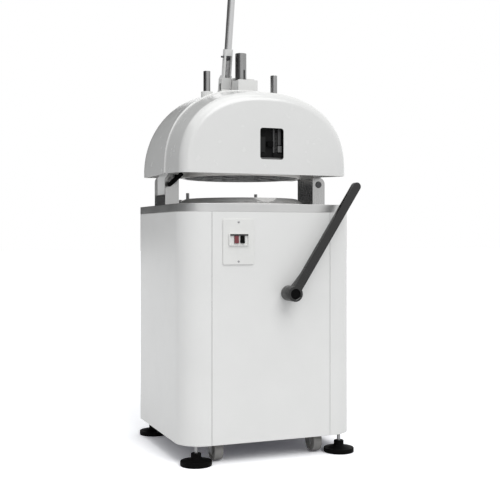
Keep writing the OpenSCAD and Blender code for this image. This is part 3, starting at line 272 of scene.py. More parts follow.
def make_finishes():
    """All finishes, by name."""
    tint = bpy.context.scene.rounder_colours
    white, steel, bright, black = map(tuple, (tint.enamel, tint.steel, tint.bright, tint.black))
    across, upright, drawn, ground = (1, 60, 60), (60, 60, 1), (80, 80, 1.5), (30, 30, 30)
    FINISH.update({
        "enamel": paint("white_enamel", white),
        "cover_enamel": paint("cover_enamel", part_of(white, 0.95), (0.2, 0.28), peel=0.012, peel_scale=300,
                              coat=0.6),
        "casting_enamel": paint("casting_enamel", part_of(white, 0.94), (0.30, 0.42), peel=0.10,
                                peel_scale=260, coat=0.15),
        "motor_enamel": paint("motor_enamel", (0.07, 0.13, 0.22), (0.35, 0.45), peel=0.15, peel_scale=300,
                              coat=0.1, spread=0.05),
        "black_enamel": paint("black_enamel", part_of(black, 0.3), (0.2, 0.3), peel=0.04, peel_scale=700,
                              coat=0.0, spread=0.15),
        "worktop_steel": brushed("worktop_steel", part_of(steel, 0.90), across, (0.3, 0.4)),
        "post_steel": brushed("post_steel", part_of(steel, 0.70), upright, (0.2, 0.3)),
        "tube_steel": brushed("tube_steel", part_of(bright, 0.9), drawn, (0.34, 0.44), streak=0.02,
                              spread=0.03),
        "rod_steel": brushed("rod_steel", part_of(bright, 0.50), drawn, (0.26, 0.36), streak=0.015,
                             spread=0.03),
        "ram_steel": brushed("ram_steel", part_of(bright, 0.47), (70, 70, 1.5), (0.24, 0.34), streak=0.02,
                             spread=0.04),
        "dark_steel": brushed("machined_steel", (0.30, 0.30, 0.305), ground, (0.28, 0.42)),
        "oxide_steel": brushed("oxide_steel", (0.075, 0.075, 0.078), ground, (0.3, 0.44)),
        "table_alloy": brushed("turned_alloy", (0.62, 0.615, 0.605), (14, 14, 14), (0.28, 0.4), streak=0.03,
                               metal=0.5),
        "ring_alloy": brushed("ring_alloy", (0.88, 0.86, 0.83), (2, 2, 60), (0.34, 0.46), streak=0.04,
                              metal=0.25),
        "spring_zinc": moulded("spring_zinc", (0.6, 0.6, 0.6), (0.3, 0.4), pores=0.02, spread=0.04),
        "knife_steel": moulded("knife_steel", (0.17, 0.17, 0.17), (0.4, 0.5), pores=0.03, spread=0.06),
        "cast_iron": moulded("cast_iron", (0.17, 0.175, 0.18), (0.5, 0.65), pores=0.3, pore_scale=500,
                             spread=0.12),
        "black_plastic": moulded("black_plastic", part_of(black, 0.15), (0.5, 0.64), gloss=0.04),
        "black_rubber": moulded("black_rubber", black, (0.6, 0.75), pores=0.15, pore_scale=600, spread=0.15),
        "wheel_rubber": moulded("wheel_rubber", (0.23, 0.225, 0.215), (0.45, 0.6), pores=0.10,
                                pore_scale=700, spread=0.08),
        "white_plastic": moulded("white_plastic", (0.79, 0.79, 0.77), (0.35, 0.45), pores=0.03, spread=0.02),
        "red_plastic": moulded("red_plastic", tuple(tint.red), (0.22, 0.3), pores=0.02, spread=0.05),
        "tick_paint": moulded("tick_paint", (0.14, 0.14, 0.138), (0.5, 0.6), pores=0.02, spread=0.03),
        "rail_grey": moulded("rail_grey", (0.05, 0.05, 0.05), (0.4, 0.5), pores=0.03, spread=0.08),
        # A darker copy of rail_grey: painted shade for the rail on the window's shaded left
        "rail_shade": moulded("rail_shade", (0.02, 0.02, 0.02), (0.5, 0.6), pores=0.03, spread=0.08,
                              gloss=0.1),
        # Near-black finish used as painted shade: the dark inside the head behind the window, and in the
        # lever's slot
        "dark_recess": moulded("dark_recess", (0.012, 0.012, 0.012), (0.55, 0.7), pores=0.05, spread=0.1,
                               gloss=0.05),
    })


# Mesh helpers


def new_piece(name, mesh, finish):
    """Object for a finished mesh, with its finish as the only material."""
    mesh.materials.clear()
    mesh.materials.append(FINISH[finish])
    piece = bpy.data.objects.new(name, mesh)
    bpy.context.scene.collection.objects.link(piece)
    return piece


def made(name, form, finish):
    """Object for a finished form, which is freed."""
    mesh = bpy.data.meshes.new(name)
    form.to_mesh(mesh)
    form.free()
    return new_piece(name, mesh, finish)


def settled(piece, nodes, body=None):
    """Puts a piece on its CAD body, in place of its nodes."""
    nodes = [nodes] if isinstance(nodes, str) else list(nodes)
    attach(piece, body or BODY_OF[nodes[0]])
    if nodes:
        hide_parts(*nodes)
    return piece


def beside(piece, node):
    """Puts a piece on a node's body, and leaves the node's own piece."""
    return settled(piece, [], BODY_OF[node])


def baked(piece):
    """The piece with its modifiers made into its mesh."""
    graph = bpy.context.evaluated_depsgraph_get()
    final = piece.evaluated_get(graph)
    mesh = bpy.data.meshes.new_from_object(final, preserve_all_data_layers=True, depsgraph=graph)
    piece.modifiers.clear()
    old = piece.data
    piece.data = mesh
    bpy.data.meshes.remove(old)
    return piece


def softened(piece, edge, steps=2, angle=31):
    """Rounds the sharp edges of a piece and shades it smooth."""
    piece.data.polygons.foreach_set("use_smooth", [True] * len(piece.data.polygons))
    piece.data.set_sharp_from_angle(angle=math.radians(angle))
    if edge > 0:
        bevel = piece.modifiers.new("edge", "BEVEL")
        bevel.width = edge
        bevel.segments = steps
        bevel.limit_method = "ANGLE"
        bevel.angle_limit = math.radians(angle)
        bevel.harden_normals = True
        bevel.use_clamp_overlap = True
        bevel.miter_outer = "MITER_ARC"
    return baked(piece)


def cad_copy(node, name, finish):
    """A merged copy of a CAD node, with its flat faces joined."""
    mesh = frame["nodes"][node].data.copy()
    form = bmesh.new()
    form.from_mesh(mesh)
    bmesh.ops.remove_doubles(form, verts=form.verts, dist=MERGE_DISTANCE)
    bmesh.ops.dissolve_limit(form, angle_limit=FLAT_ANGLE, verts=form.verts, edges=form.edges)
    form.to_mesh(mesh)
    form.free()
    return new_piece(name, mesh, finish)


def dressed(node, name, finish, edge=0.8, steps=2):
    """A CAD node's form with its edges rounded, in mm, in its place."""
    return settled(softened(cad_copy(node, name, finish), edge * MM, steps), node)


def finished(node, finish):
    """A CAD node that stays, with its finish."""
    shown = frame["nodes"][node]
    shown.data.materials.clear()
    shown.data.materials.append(FINISH[finish])


def carved(piece, cutters):
    """Cuts other meshes out of a piece."""
    for cutter in cutters:
        cut = piece.modifiers.new("cut", "BOOLEAN")
        cut.operation = "DIFFERENCE"
        cut.solver = "EXACT"
        cut.object = cutter
    baked(piece)
    for cutter in cutters:
        bpy.data.objects.remove(cutter)
    return piece


def block(name, low, high, finish="enamel"):
    """A box between two corners, for cutting or joining."""
    form = bmesh.new()
    bmesh.ops.create_cube(form, size=1)
    low, high = Vector(low), Vector(high)
    place = Matrix.Translation((high + low) / 2) @ Matrix.Diagonal((*(high - low), 1))
    bmesh.ops.transform(form, matrix=place, verts=form.verts)
    return made(name, form, finish)


# Turns two numbers across an axis and one along it into a point
ALONG = {"X": lambda a, b, c: (c, a, b), "Y": lambda a, b, c: (a, c, b), "Z": lambda a, b, c: (a, b, c)}


def prism(name, outline, low, high, finish="enamel", axis="Y"):
    """A flat outline pushed from low to high along an axis; outlines along Y are in x and z."""
    form = bmesh.new()
    ends = [[form.verts.new(ALONG[axis](a, b, c)) for a, b in outline] for c in (low, high)]
    count = len(outline)
    form.faces.new(ends[0])
    form.faces.new(ends[1])
    for i in range(count):
        j = (i + 1) % count
        form.faces.new([ends[0][i], ends[0][j], ends[1][j], ends[1][i]])
    bmesh.ops.recalc_face_normals(form, faces=form.faces)
    return made(name, form, finish)


def lathe(name, profile, finish, centre, axis="Z", sides=64):
    """A closed (radius, height) profile turned about an axis through a point."""
    form = bmesh.new()
    turns = [2 * math.pi * k / sides for k in range(sides)]
    rings = []
    for r, h in profile:
        spots = [(r * math.cos(t), r * math.sin(t)) for t in turns] if r > 0 else [(0, 0)]
        rings.append([form.verts.new(Vector(ALONG[axis](a, b, h)) + centre) for a, b in spots])
    for a, b in zip(rings, rings[1:] + rings[:1]):
        if len(a) == 1 and len(b) == 1:
            continue
        for k in range(sides):
            m = (k + 1) % sides
            if len(a) == 1:
                form.faces.new([a[0], b[k], b[m]])
            elif len(b) == 1:
                form.faces.new([a[k], b[0], a[m]])
            else:
                form.faces.new([a[k], b[k], b[m], a[m]])
    bmesh.ops.recalc_face_normals(form, faces=form.faces)
    return made(name, form, finish)


def cylinder(name, r, low, high, finish, centre, axis="Z", sides=64):
    """A round bar from low to high along an axis through a point."""
    return lathe(name, [(0, low), (r, low), (r, high), (0, high)], finish, centre, axis, sides)


def rounded(low, high, r, inset=0.0, steps=6):
    """Outline, in x and z, of a box's front with round corners, drawn in by an inset."""
    x0, z0 = (low.x + high.x) / 2, (low.z + high.z) / 2
    half_w, half_h = (high.x - low.x) / 2 - inset, (high.z - low.z) / 2 - inset
    points = []
    for k, (sx, sz) in enumerate(((1, 1), (-1, 1), (-1, -1), (1, -1))):
        for i in range(steps + 1):
            t = math.pi / 2 * (k + i / steps)
            points.append((x0 + sx * (half_w - r) + r * math.cos(t),
                           z0 + sz * (half_h - r) + r * math.sin(t)))
    return points


# Geometry Nodes helpers


class NodeTree:
    """A Geometry Nodes tree with named inputs."""

    def __init__(self, name, inputs):
        self.group = bpy.data.node_groups.new(name, "GeometryNodeTree")
        self.make = node_maker(self.group)
        face = self.group.interface
        face.new_socket("Geometry", in_out="INPUT", socket_type="NodeSocketGeometry")
        for label, (kind, value) in inputs.items():
            face.new_socket(label, in_out="INPUT", socket_type="NodeSocket" + kind).default_value = value
        face.new_socket("Finish", in_out="INPUT", socket_type="NodeSocketMaterial")
        face.new_socket("Geometry", in_out="OUTPUT", socket_type="NodeSocketGeometry")
        self.source = self.make("NodeGroupInput").outputs
        self.sink = self.make("NodeGroupOutput").inputs

    def add(self, kind, inputs=None, **settings):
        """Outputs of a new geometry node."""
        return self.make("GeometryNode" + kind, inputs, **settings).outputs

    def vector(self, x, y, z):
        """A vector of three numbers or sockets."""
        return self.make("ShaderNodeCombineXYZ", {"X": x, "Y": y, "Z": z}).outputs["Vector"]

    def sum(self, operation, *numbers):
        """Result of a sum with numbers or sockets."""
        return self.make("ShaderNodeMath", dict(enumerate(numbers)), operation=operation).outputs["Value"]

    def end(self, geometry):
        """Realizes instances, sets the finish and ends the tree."""
        whole = self.add("RealizeInstances", {"Geometry": geometry})["Geometry"]
        done = self.add("SetMaterial", {"Geometry": whole, "Material": self.source["Finish"]})["Geometry"]
        self.group.links.new(done, self.sink["Geometry"])
        return self.group

    def end_tube(self, path, radius, sides):
        """Ends the tree with a smooth round tube along a path."""
        ring = self.add("CurvePrimitiveCircle", {"Resolution": sides, "Radius": radius})["Curve"]
        tube = self.add("CurveToMesh", {"Curve": path, "Profile Curve": ring, "Fill Caps": True})["Mesh"]
        return self.end(self.add("SetShadeSmooth", {"Geometry": tube})["Geometry"])


def grown(name, group, values, finish, points=((0, 0, 0),), edges=()):
    """Runs a tree on a few points and keeps the result as a plain mesh."""
    seed = bpy.data.meshes.new(name)
    seed.from_pydata([tuple(p) for p in points], list(edges), [])
    piece = bpy.data.objects.new(name, seed)
    bpy.context.scene.collection.objects.link(piece)
    run = piece.modifiers.new("grow", "NODES")
    run.node_group = group
    values = {**values, "Finish": FINISH[finish]}
    for item in group.interface.items_tree:
        if item.in_out == "INPUT" and item.name in values:
            run[item.identifier] = values[item.name]
    return baked(piece)


def screw_tree():
    """Cross-head screws, one on each point, facing -Y."""
    tree = NodeTree("cross_head_screws", {"Radius": ("Float", 0.004), "Height": ("Float", 0.002),
                                          "Slot": ("Float", 0.0009)})
    radius, height, slot = tree.source["Radius"], tree.source["Height"], tree.source["Slot"]
    head = tree.add("MeshUVSphere", {"Segments": 24, "Rings": 12, "Radius": radius})["Mesh"]
    flattened = tree.vector(1.0, 0.5, 1.0)
    head = tree.add("Transform", {"Geometry": head, "Scale": flattened})["Geometry"]
    front = tree.vector(0.0, tree.sum("MULTIPLY", height, -1.0), 0.0)
    for size in (tree.vector(radius, height, slot), tree.vector(slot, height, radius)):
        bar = tree.add("MeshCube", {"Size": size})["Mesh"]
        bar = tree.add("Transform", {"Geometry": bar, "Translation": front})["Geometry"]
        head = tree.add("MeshBoolean", {"Mesh 1": head, "Mesh 2": bar}, operation="DIFFERENCE")["Mesh"]
    dots = tree.add("MeshToPoints", {"Mesh": tree.source["Geometry"]})["Points"]
    return tree.end(tree.add("InstanceOnPoints", {"Points": dots, "Instance": head})["Instances"])


def spring_tree():
    """A round wire wound into a helix along +Z."""
    tree = NodeTree("wound_spring", {"Turns": ("Float", 13.0), "Radius": ("Float", 0.008),
                                     "Height": ("Float", 0.06), "Wire": ("Float", 0.0016)})
    turns, radius, height = tree.source["Turns"], tree.source["Radius"], tree.source["Height"]
    path = tree.add("CurveSpiral", {"Resolution": 28, "Rotations": turns, "Start Radius": radius,
                                    "End Radius": radius, "Height": height})["Curve"]
    return tree.end_tube(path, tree.source["Wire"], sides=10)


def bead_tree():
    """A round bead along a line of points."""
    tree = NodeTree("rolled_bead", {"Radius": ("Float", 0.003)})
    path = tree.add("MeshToCurve", {"Mesh": tree.source["Geometry"]})["Curve"]
    return tree.end_tube(path, tree.source["Radius"], sides=12)


def tick_tree():
    """A column of short marks, each fifth one longer, along +Z."""
    tree = NodeTree("scale_ticks", {"Count": ("Int", 17), "Step": ("Float", 0.005),
                                    "Length": ("Float", 0.006), "Width": ("Float", 0.0008),
                                    "Depth": ("Float", 0.0006)})
    step = tree.vector(0.0, 0.0, tree.source["Step"])
    column = tree.add("MeshLine", {"Count": tree.source["Count"], "Offset": step})["Mesh"]
    size = tree.vector(tree.source["Length"], tree.source["Depth"], tree.source["Width"])
    mark = tree.add("MeshCube", {"Size": size})["Mesh"]
    fifth = tree.sum("LESS_THAN", tree.sum("MODULO", tree.add("InputIndex")["Index"], 5.0), 0.5)
    longer = tree.vector(tree.sum("MULTIPLY_ADD", fifth, 0.8, 1.0), 1.0, 1.0)
    marks = tree.add("InstanceOnPoints", {"Points": column, "Instance": mark, "Scale": longer})
    return tree.end(marks["Instances"])


# Operators, one for each piece or group of like pieces


class StageOperator(bpy.types.Operator):
    """Camera at the photograph's angle, pale floor and soft studio light"""

    bl_idname = "rounder.stage"
    bl_label = "Stage"

    # Camera: its sensor and lens in mm, its shift, its place, with Y from the ram, and the way it looks
    sensor, lens, shift = 36, 66.1, -0.0306
    stand, looks = Vector((-1.268, -3.282, 0.7915)), Vector((0.3697, 0.9291, 0))
    # Sky as light; the floor in bounced light, for the camera and in mirrors; its bluish lift and its reach
    sky, sky_strength = (0.97, 0.985, 1.0, 1), 0.50
    floor_bounce, floor_shown, white = (0.66, 0.66, 0.67, 1), (1.32, 1.32, 1.33, 1), (1, 1, 1, 1)
    floor_lift, lift_strength, floor_reach = (0.62, 0.60, 1.0, 1), 0.020, 40
    # Dark cards: name, foot line, lower and upper edge, and where along Y the card fades out
    left_line = (-2.6, -3.4), (-2.6, 6.0)
    cards = (("left_card", left_line, 1.3, 3.6, None),
             ("rim_card", left_line, 0.66, 1.3, (-0.1, -2.2)),
             ("back_card", ((-7.0, 5.0), (0.9, 5.0)), 0.66, 5.2, None))
    card_tone, card_rough = 0.03, 0.9
    # Lamps: name, the way to the lamp, strength and spread in degrees
    lamps = (("key_light", (0.14, -0.68, 0.70), 1.22, 40),
             ("left_fill", (-0.9, -0.3, 0.35), 0.30, 60),
             ("top_light", (-0.05, -0.12, 1.0), 0.72, 50))

    def execute(self, context):
        scene = context.scene
        scene.view_settings.view_transform = "Standard"
        data = bpy.data.cameras.new("studio_camera")
        data.sensor_width = self.sensor
        data.lens = self.lens
        data.shift_y = self.shift
        camera = bpy.data.objects.new("studio_camera", data)
        scene.collection.objects.link(camera)
        camera.location = self.stand + Vector((0, RAM.y, 0))
        camera.rotation_euler = self.looks.to_track_quat("-Z", "Y").to_euler()
        scene.camera = camera
        self.world(scene)
        self.floor(scene)
        for card in self.cards:
            self.card(scene, *card)
        for lamp in self.lamps:
            self.lamp(scene, *lamp)
        return {"FINISHED"}

    def world(self, scene):
        """A soft sky as light, plain white as background and in mirrors."""
        world = bpy.data.worlds.new("studio_world")
        world.use_nodes = True
        scene.world = world
        tree = world.node_tree
        make, light = node_maker(tree), tree.nodes["Background"]
        light.inputs["Color"].default_value = self.sky
        light.inputs["Strength"].default_value = self.sky_strength
        shown = make("ShaderNodeBackground", {"Color": self.white, "Strength": 1.0}).outputs[0]
        path = make("ShaderNodeLightPath").outputs
        seen = path["Is Camera Ray"]
        for ray in ("Is Glossy Ray", "Is Transmission Ray"):
            seen = make("ShaderNodeMath", {0: seen, 1: path[ray]}, operation="MAXIMUM").outputs[0]
        mix = make("ShaderNodeMixShader", {0: seen, 1: light.outputs[0], 2: shown}).outputs[0]
        tree.links.new(mix, tree.nodes["World Output"].inputs["Surface"])

    def floor(self, scene):
        """A pale floor that keeps the object's shadow."""
        r = self.floor_reach
        floor = self.sheet(scene, "studio_floor", [(-r, -r, 0), (r, -r, 0), (r, r, 0), (-r, r, 0)])
        material, make = finish_tree("pale_floor")[:2]
        matt, shown, pale = [make("ShaderNodeBsdfDiffuse", {"Color": c}).outputs[0]
                             for c in (self.floor_bounce, self.floor_shown, self.white)]
        lift = make("ShaderNodeEmission", {"Color": self.floor_lift, "Strength": self.lift_strength})
        path = make("ShaderNodeLightPath").outputs
        mirror = make("ShaderNodeMath", {0: path["Is Glossy Ray"], 1: path["Is Transmission Ray"]},
                      operation="MAXIMUM").outputs[0]
        bright = make("ShaderNodeAddShader", {0: shown, 1: lift.outputs[0]}).outputs[0]
        seen = make("ShaderNodeMixShader", {0: mirror, 1: matt, 2: pale}).outputs[0]
        mix = make("ShaderNodeMixShader", {0: path["Is Camera Ray"], 1: seen, 2: bright}).outputs[0]
        tree = material.node_tree
        tree.links.new(mix, tree.nodes["Material Output"].inputs["Surface"])
        floor.data.materials.append(material)

    def card(self, scene, name, line, low, high, fade):
        """A dark card that only reflections show, so that metal has its dark side."""
        (x0, y0), (x1, y1) = line
        card = self.sheet(scene, name, [(x0, y0, low), (x1, y1, low), (x1, y1, high), (x0, y0, high)])
        material, make, surface = finish_tree(name)
        surface["Base Color"].default_value = (*[self.card_tone] * 3, 1)
        surface["Roughness"].default_value = self.card_rough
        if fade:
            place = make("ShaderNodeTexCoord").outputs["Object"]
            along = make("ShaderNodeSeparateXYZ", {"Vector": place}).outputs["Y"]
            tone = make("ShaderNodeMapRange", {"Value": along, "From Min": fade[0], "From Max": fade[1],
                                               "To Min": self.card_tone, "To Max": 1.0}).outputs["Result"]
            material.node_tree.links.new(tone, surface["Base Color"])
        card.data.materials.append(material)
        for ray in ("camera", "diffuse", "shadow", "transmission", "volume_scatter"):
            setattr(card, "visible_" + ray, False)

    @staticmethod
    def sheet(scene, name, corners):
        """A flat four-cornered piece of the stage."""
        mesh = bpy.data.meshes.new(name)
        mesh.from_pydata(corners, [], [(0, 1, 2, 3)])
        sheet = bpy.data.objects.new(name, mesh)
        scene.collection.objects.link(sheet)
        return sheet

    @staticmethod
    def lamp(scene, name, towards, strength, spread):
        """A wide, soft sun."""
        data = bpy.data.lights.new(name, "SUN")
        data.energy = strength
        data.angle = math.radians(spread)
        lamp = bpy.data.objects.new(name, data)
        scene.collection.objects.link(lamp)
        lamp.rotation_euler = Vector(towards).to_track_quat("Z", "Y").to_euler()


class CabinetOperator(bpy.types.Operator):
    """Enamelled panels, steel worktop and the frame inside the cabinet"""

    bl_idname = "rounder.cabinet"
    bl_label = "Cabinet"

    def execute(self, context):
        for node in ("left_side_panel", "right_side_panel", "front_panel", "back_panel"):
            dressed(node, node + "_sheet", "enamel", edge=0.7)
        dressed("worktop", "steel_worktop", "worktop_steel", edge=1.6, steps=3)
        for node in ("base_plate", "corner_posts", "bearing_bridge"):
            finished(node, "dark_steel")
        return {"FINISHED"}


class FeetOperator(bpy.types.Operator):
    """Levelling feet and casters"""

    bl_idname = "rounder.feet"
    bl_label = "Feet and casters"

    def execute(self, context):
        dressed("foot_pads", "levelling_pads", "black_plastic", edge=2.2, steps=3)
        for node, name in (("foot_stems", "levelling_stems"), ("caster_forks", "caster_brackets"),
                           ("caster_axles", "caster_bolts")):
            dressed(node, name, "dark_steel")
        for a in ("front", "rear"):
            for b in ("left", "right"):
                dressed(f"caster_wheel_{a}_{b}", f"caster_tyre_{a}_{b}", "wheel_rubber", edge=2.5, steps=3)
        return {"FINISHED"}


class PostsOperator(bpy.types.Operator):
    """Posts, hinge pin and clamp"""

    bl_idname = "rounder.posts"
    bl_label = "Posts"

    # Clamp bar: from the stud to its far and near end, half its width, its thickness and steps round an end
    bar_long, bar_short, bar_half, bar_thick, end_steps = 0.033, 0.024, 0.0075, 0.012, 12
    boss_radius = 0.014

    def execute(self, context):
        for side in ("left", "right"):
            dressed(f"{side}_post", f"{side}_steel_post", "post_steel", edge=0.9)
        dressed("hinge_pin", "head_hinge_pin", "oxide_steel", edge=1.2)
        dressed("clamp_stud", "head_clamp_stud", "oxide_steel")
        self.clamp(context.scene.rounder_levers.clamp_lean)
        return {"FINISHED"}

    def clamp(self, lean):
        """The clamp's bar with round ends, and the boss that turns on the stud."""
        low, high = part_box("clamp_lever")
        stud_low, stud_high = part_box("clamp_stud")
        axis, near, wide = middle("clamp_stud"), low.y + self.bar_thick, self.bar_half
        ahead = Vector((math.cos(lean), math.sin(lean)))
        aside = Vector((-ahead.y, ahead.x))
        outline = []
        for reach, start in ((self.bar_long, -90), (-self.bar_short, 90)):
            for k in range(self.end_steps + 1):
                turn = math.radians(start + 180 * k / self.end_steps)
                point = ahead * (reach + wide * math.cos(turn)) + aside * (wide * math.sin(turn))
                outline.append((axis.x + point.x, axis.z + point.y))
        bar = prism("head_clamp_lever", outline, low.y, near, "black_plastic")
        settled(softened(bar, 0.0016, 3), "clamp_lever")
        r, far = self.boss_radius, high.y
        bore, end = (stud_high.x - stud_low.x) / 2 + PLAY, stud_low.y - PLAY
        boss = lathe("head_clamp_boss", [(0, near), (r, near), (r, far), (bore, far), (bore, end), (0, end)],
                     "dark_steel", Vector((axis.x, 0, axis.z)), "Y", sides=48)
        beside(softened(boss, 0.0008), "clamp_lever")


class DomeShape:
    """Rows and arches of the two covers, from the CAD boxes and the dome's sizes."""

    # Rows round the face's edge, round the back's edge and along the rear cover
    face_steps, back_steps, run_steps = 16, 6, 8

    def __init__(self, size):
        self.size = size
        self.low, self.top, self.half = REAR_LOW.z, FRONT_HIGH.z, FRONT_HIGH.x
        self.spring, self.dip = self.low + size.straight, self.low - FRONT_LOW.z
        self.face, self.seam, self.back = FRONT_LOW.y, FRONT_HIGH.y, REAR_HIGH.y
        self.join = (self.seam + REAR_LOW.y) / 2

    def front_row(self, y, inset, fall):
        """A row of the front cover: place, half width, crown, power and foot."""
        ahead = max(0, self.join - y) / (self.join - self.face)
        crown = self.top - inset - fall - self.size.drop * ahead
        return y, self.half - inset - fall, crown, self.size.power, self.low - self.dip * ahead

    def rear_row(self, y, inset, fall=0.0):
        """A row of the rear cover, alike."""
        share = (y - self.join) / (self.back - self.join)
        crown = self.top - inset - fall + self.size.rise * share
        power = self.size.power + (self.size.back_power - self.size.power) * share
        return y, self.half - inset - fall, crown, power, self.low

    def front_rows(self, inset, past):
        """Rows from the rounded face to the seam, and past it."""
        fall, deep, rows = self.size.face_round - inset, self.size.face_soft - inset, []
        for k in range(self.face_steps + 1):
            t = math.pi / 2 * k / self.face_steps
            y = self.face + inset + deep * (1 - math.cos(t))
            rows.append(self.front_row(y, inset, fall * (1 - math.sin(t))))
        return rows + [self.front_row(self.seam + past, inset, 0)]

    def rear_rows(self, inset, past):
        """Rows from before the seam to the rounded back."""
        r, start, end = self.size.back_round - inset, REAR_LOW.y, self.back - inset
        rows = [self.rear_row(start - past, inset)]
        rows += [self.rear_row(start + (end - r - start) * k / self.run_steps, inset)
                 for k in range(1, self.run_steps)]
        for k in range(self.back_steps, -1, -1):
            t = math.pi / 2 * k / self.back_steps
            rows.append(self.rear_row(end - r * (1 - math.cos(t)), inset, r * (1 - math.sin(t))))
        return rows

    def arch(self, wide, crown, power, base):
        """Points, in x and z, from the right foot over the crown to the left foot."""
        points = [(wide, base)]
        for k in range(self.size.steps + 1):
            t, bend = math.pi * k / self.size.steps, 2 / power
            c, s = math.cos(t), math.sin(t)
            points.append((wide * math.copysign(abs(c) ** bend, c),
                           self.spring + (crown - self.spring) * abs(s) ** bend))
        return points + [(-wide, base)]

    def solid(self, name, rows, past=0.0):
        """A closed form over rows, whose foot can reach past the cover's."""
        form = bmesh.new()
        rings = [[form.verts.new((x, y, z)) for x, z in self.arch(wide, crown, power, base - past)]
                 for y, wide, crown, power, base in rows]
        count = len(rings[0])
        for a, b in zip(rings, rings[1:]):
            for j in range(count):
                k = (j + 1) % count
                form.faces.new([a[j], a[k], b[k], b[j]])
        form.faces.new(rings[0])
        form.faces.new(rings[-1])
        bmesh.ops.recalc_face_normals(form, faces=form.faces)
        return made(name, form, "cover_enamel")


class CoversOperator(bpy.types.Operator):
    """The two domed head covers with their seam"""

    bl_idname = "rounder.covers"
    bl_label = "Head covers"

    # Window: its margin inside the scale plate, its corner radius and its cutter's depth
    window_margin, window_round, window_deep = 0.012, 0.010, 0.012
    # Openings above: gap round the housing, and the cutters' reach below the crown and above the back
    hatch_gap, hatch_deep, hatch_over = 0.003, 0.1, 0.01
    # Rounding of the sheets' cut edges, and the angle in degrees from which an edge counts as cut
    cut_edge, cut_angle = 0.0008, 40
    # The bead's place before the seam in radii, and how far it sinks into the sheet
    bead_ahead, bead_sunk = 1.2, 0.0006

    def execute(self, context):
        size = context.scene.rounder_dome
        dome = DomeShape(size)
        outline = rounded(*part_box("portion_scale"), self.window_round, self.window_margin)
        front = carved(dome.solid("front_head_cover", dome.front_rows(0, 0)), [
            dome.solid("hollow", dome.front_rows(size.wall, OVER), OVER),
            prism("window", outline, dome.face - OVER, dome.face + self.window_deep)])
        settled(softened(front, self.cut_edge, angle=self.cut_angle), "front_cover")
        rear = carved(dome.solid("rear_head_cover", dome.rear_rows(0, 0)), self.openings(dome))
        settled(softened(rear, self.cut_edge, angle=self.cut_angle), "rear_cover")
        sunk = self.bead_sunk
        lip = dome.arch(dome.half - sunk, dome.top - sunk, size.power, dome.low + size.bead)
        path = [(x, dome.seam - size.bead * self.bead_ahead, z) for x, z in lip]
        bead = grown("seam_bead", bead_tree(), {"Radius": size.bead}, "cover_enamel", path,
                     [(k, k + 1) for k in range(len(path) - 1)])
        settled(bead, [], "head")
        return {"FINISHED"}

    def openings(self, dome):
        """Cutters of the rear cover: its hollow, the housing's hatch and the sleeves' holes."""
        house_low, house_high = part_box("gear_housing")
        sleeve_low, sleeve_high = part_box("guide_sleeves")
        gap, low, high = self.hatch_gap, dome.top - self.hatch_deep, REAR_HIGH.z + self.hatch_over
        cutters = [dome.solid("hollow", dome.rear_rows(dome.size.wall, OVER), OVER),
                   block("hatch", (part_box("lever_head")[0].x - gap, house_low.y - gap, low),
                         (house_high.x + gap, house_high.y + gap, high))]
        r = (sleeve_high.y - sleeve_low.y) / 2 + PLAY
        for x in (sleeve_low.x + r, sleeve_high.x - r):
            cutters.append(cylinder("hole", r, low, high, "enamel", Vector((x, RAM.y, 0))))
        return cutters


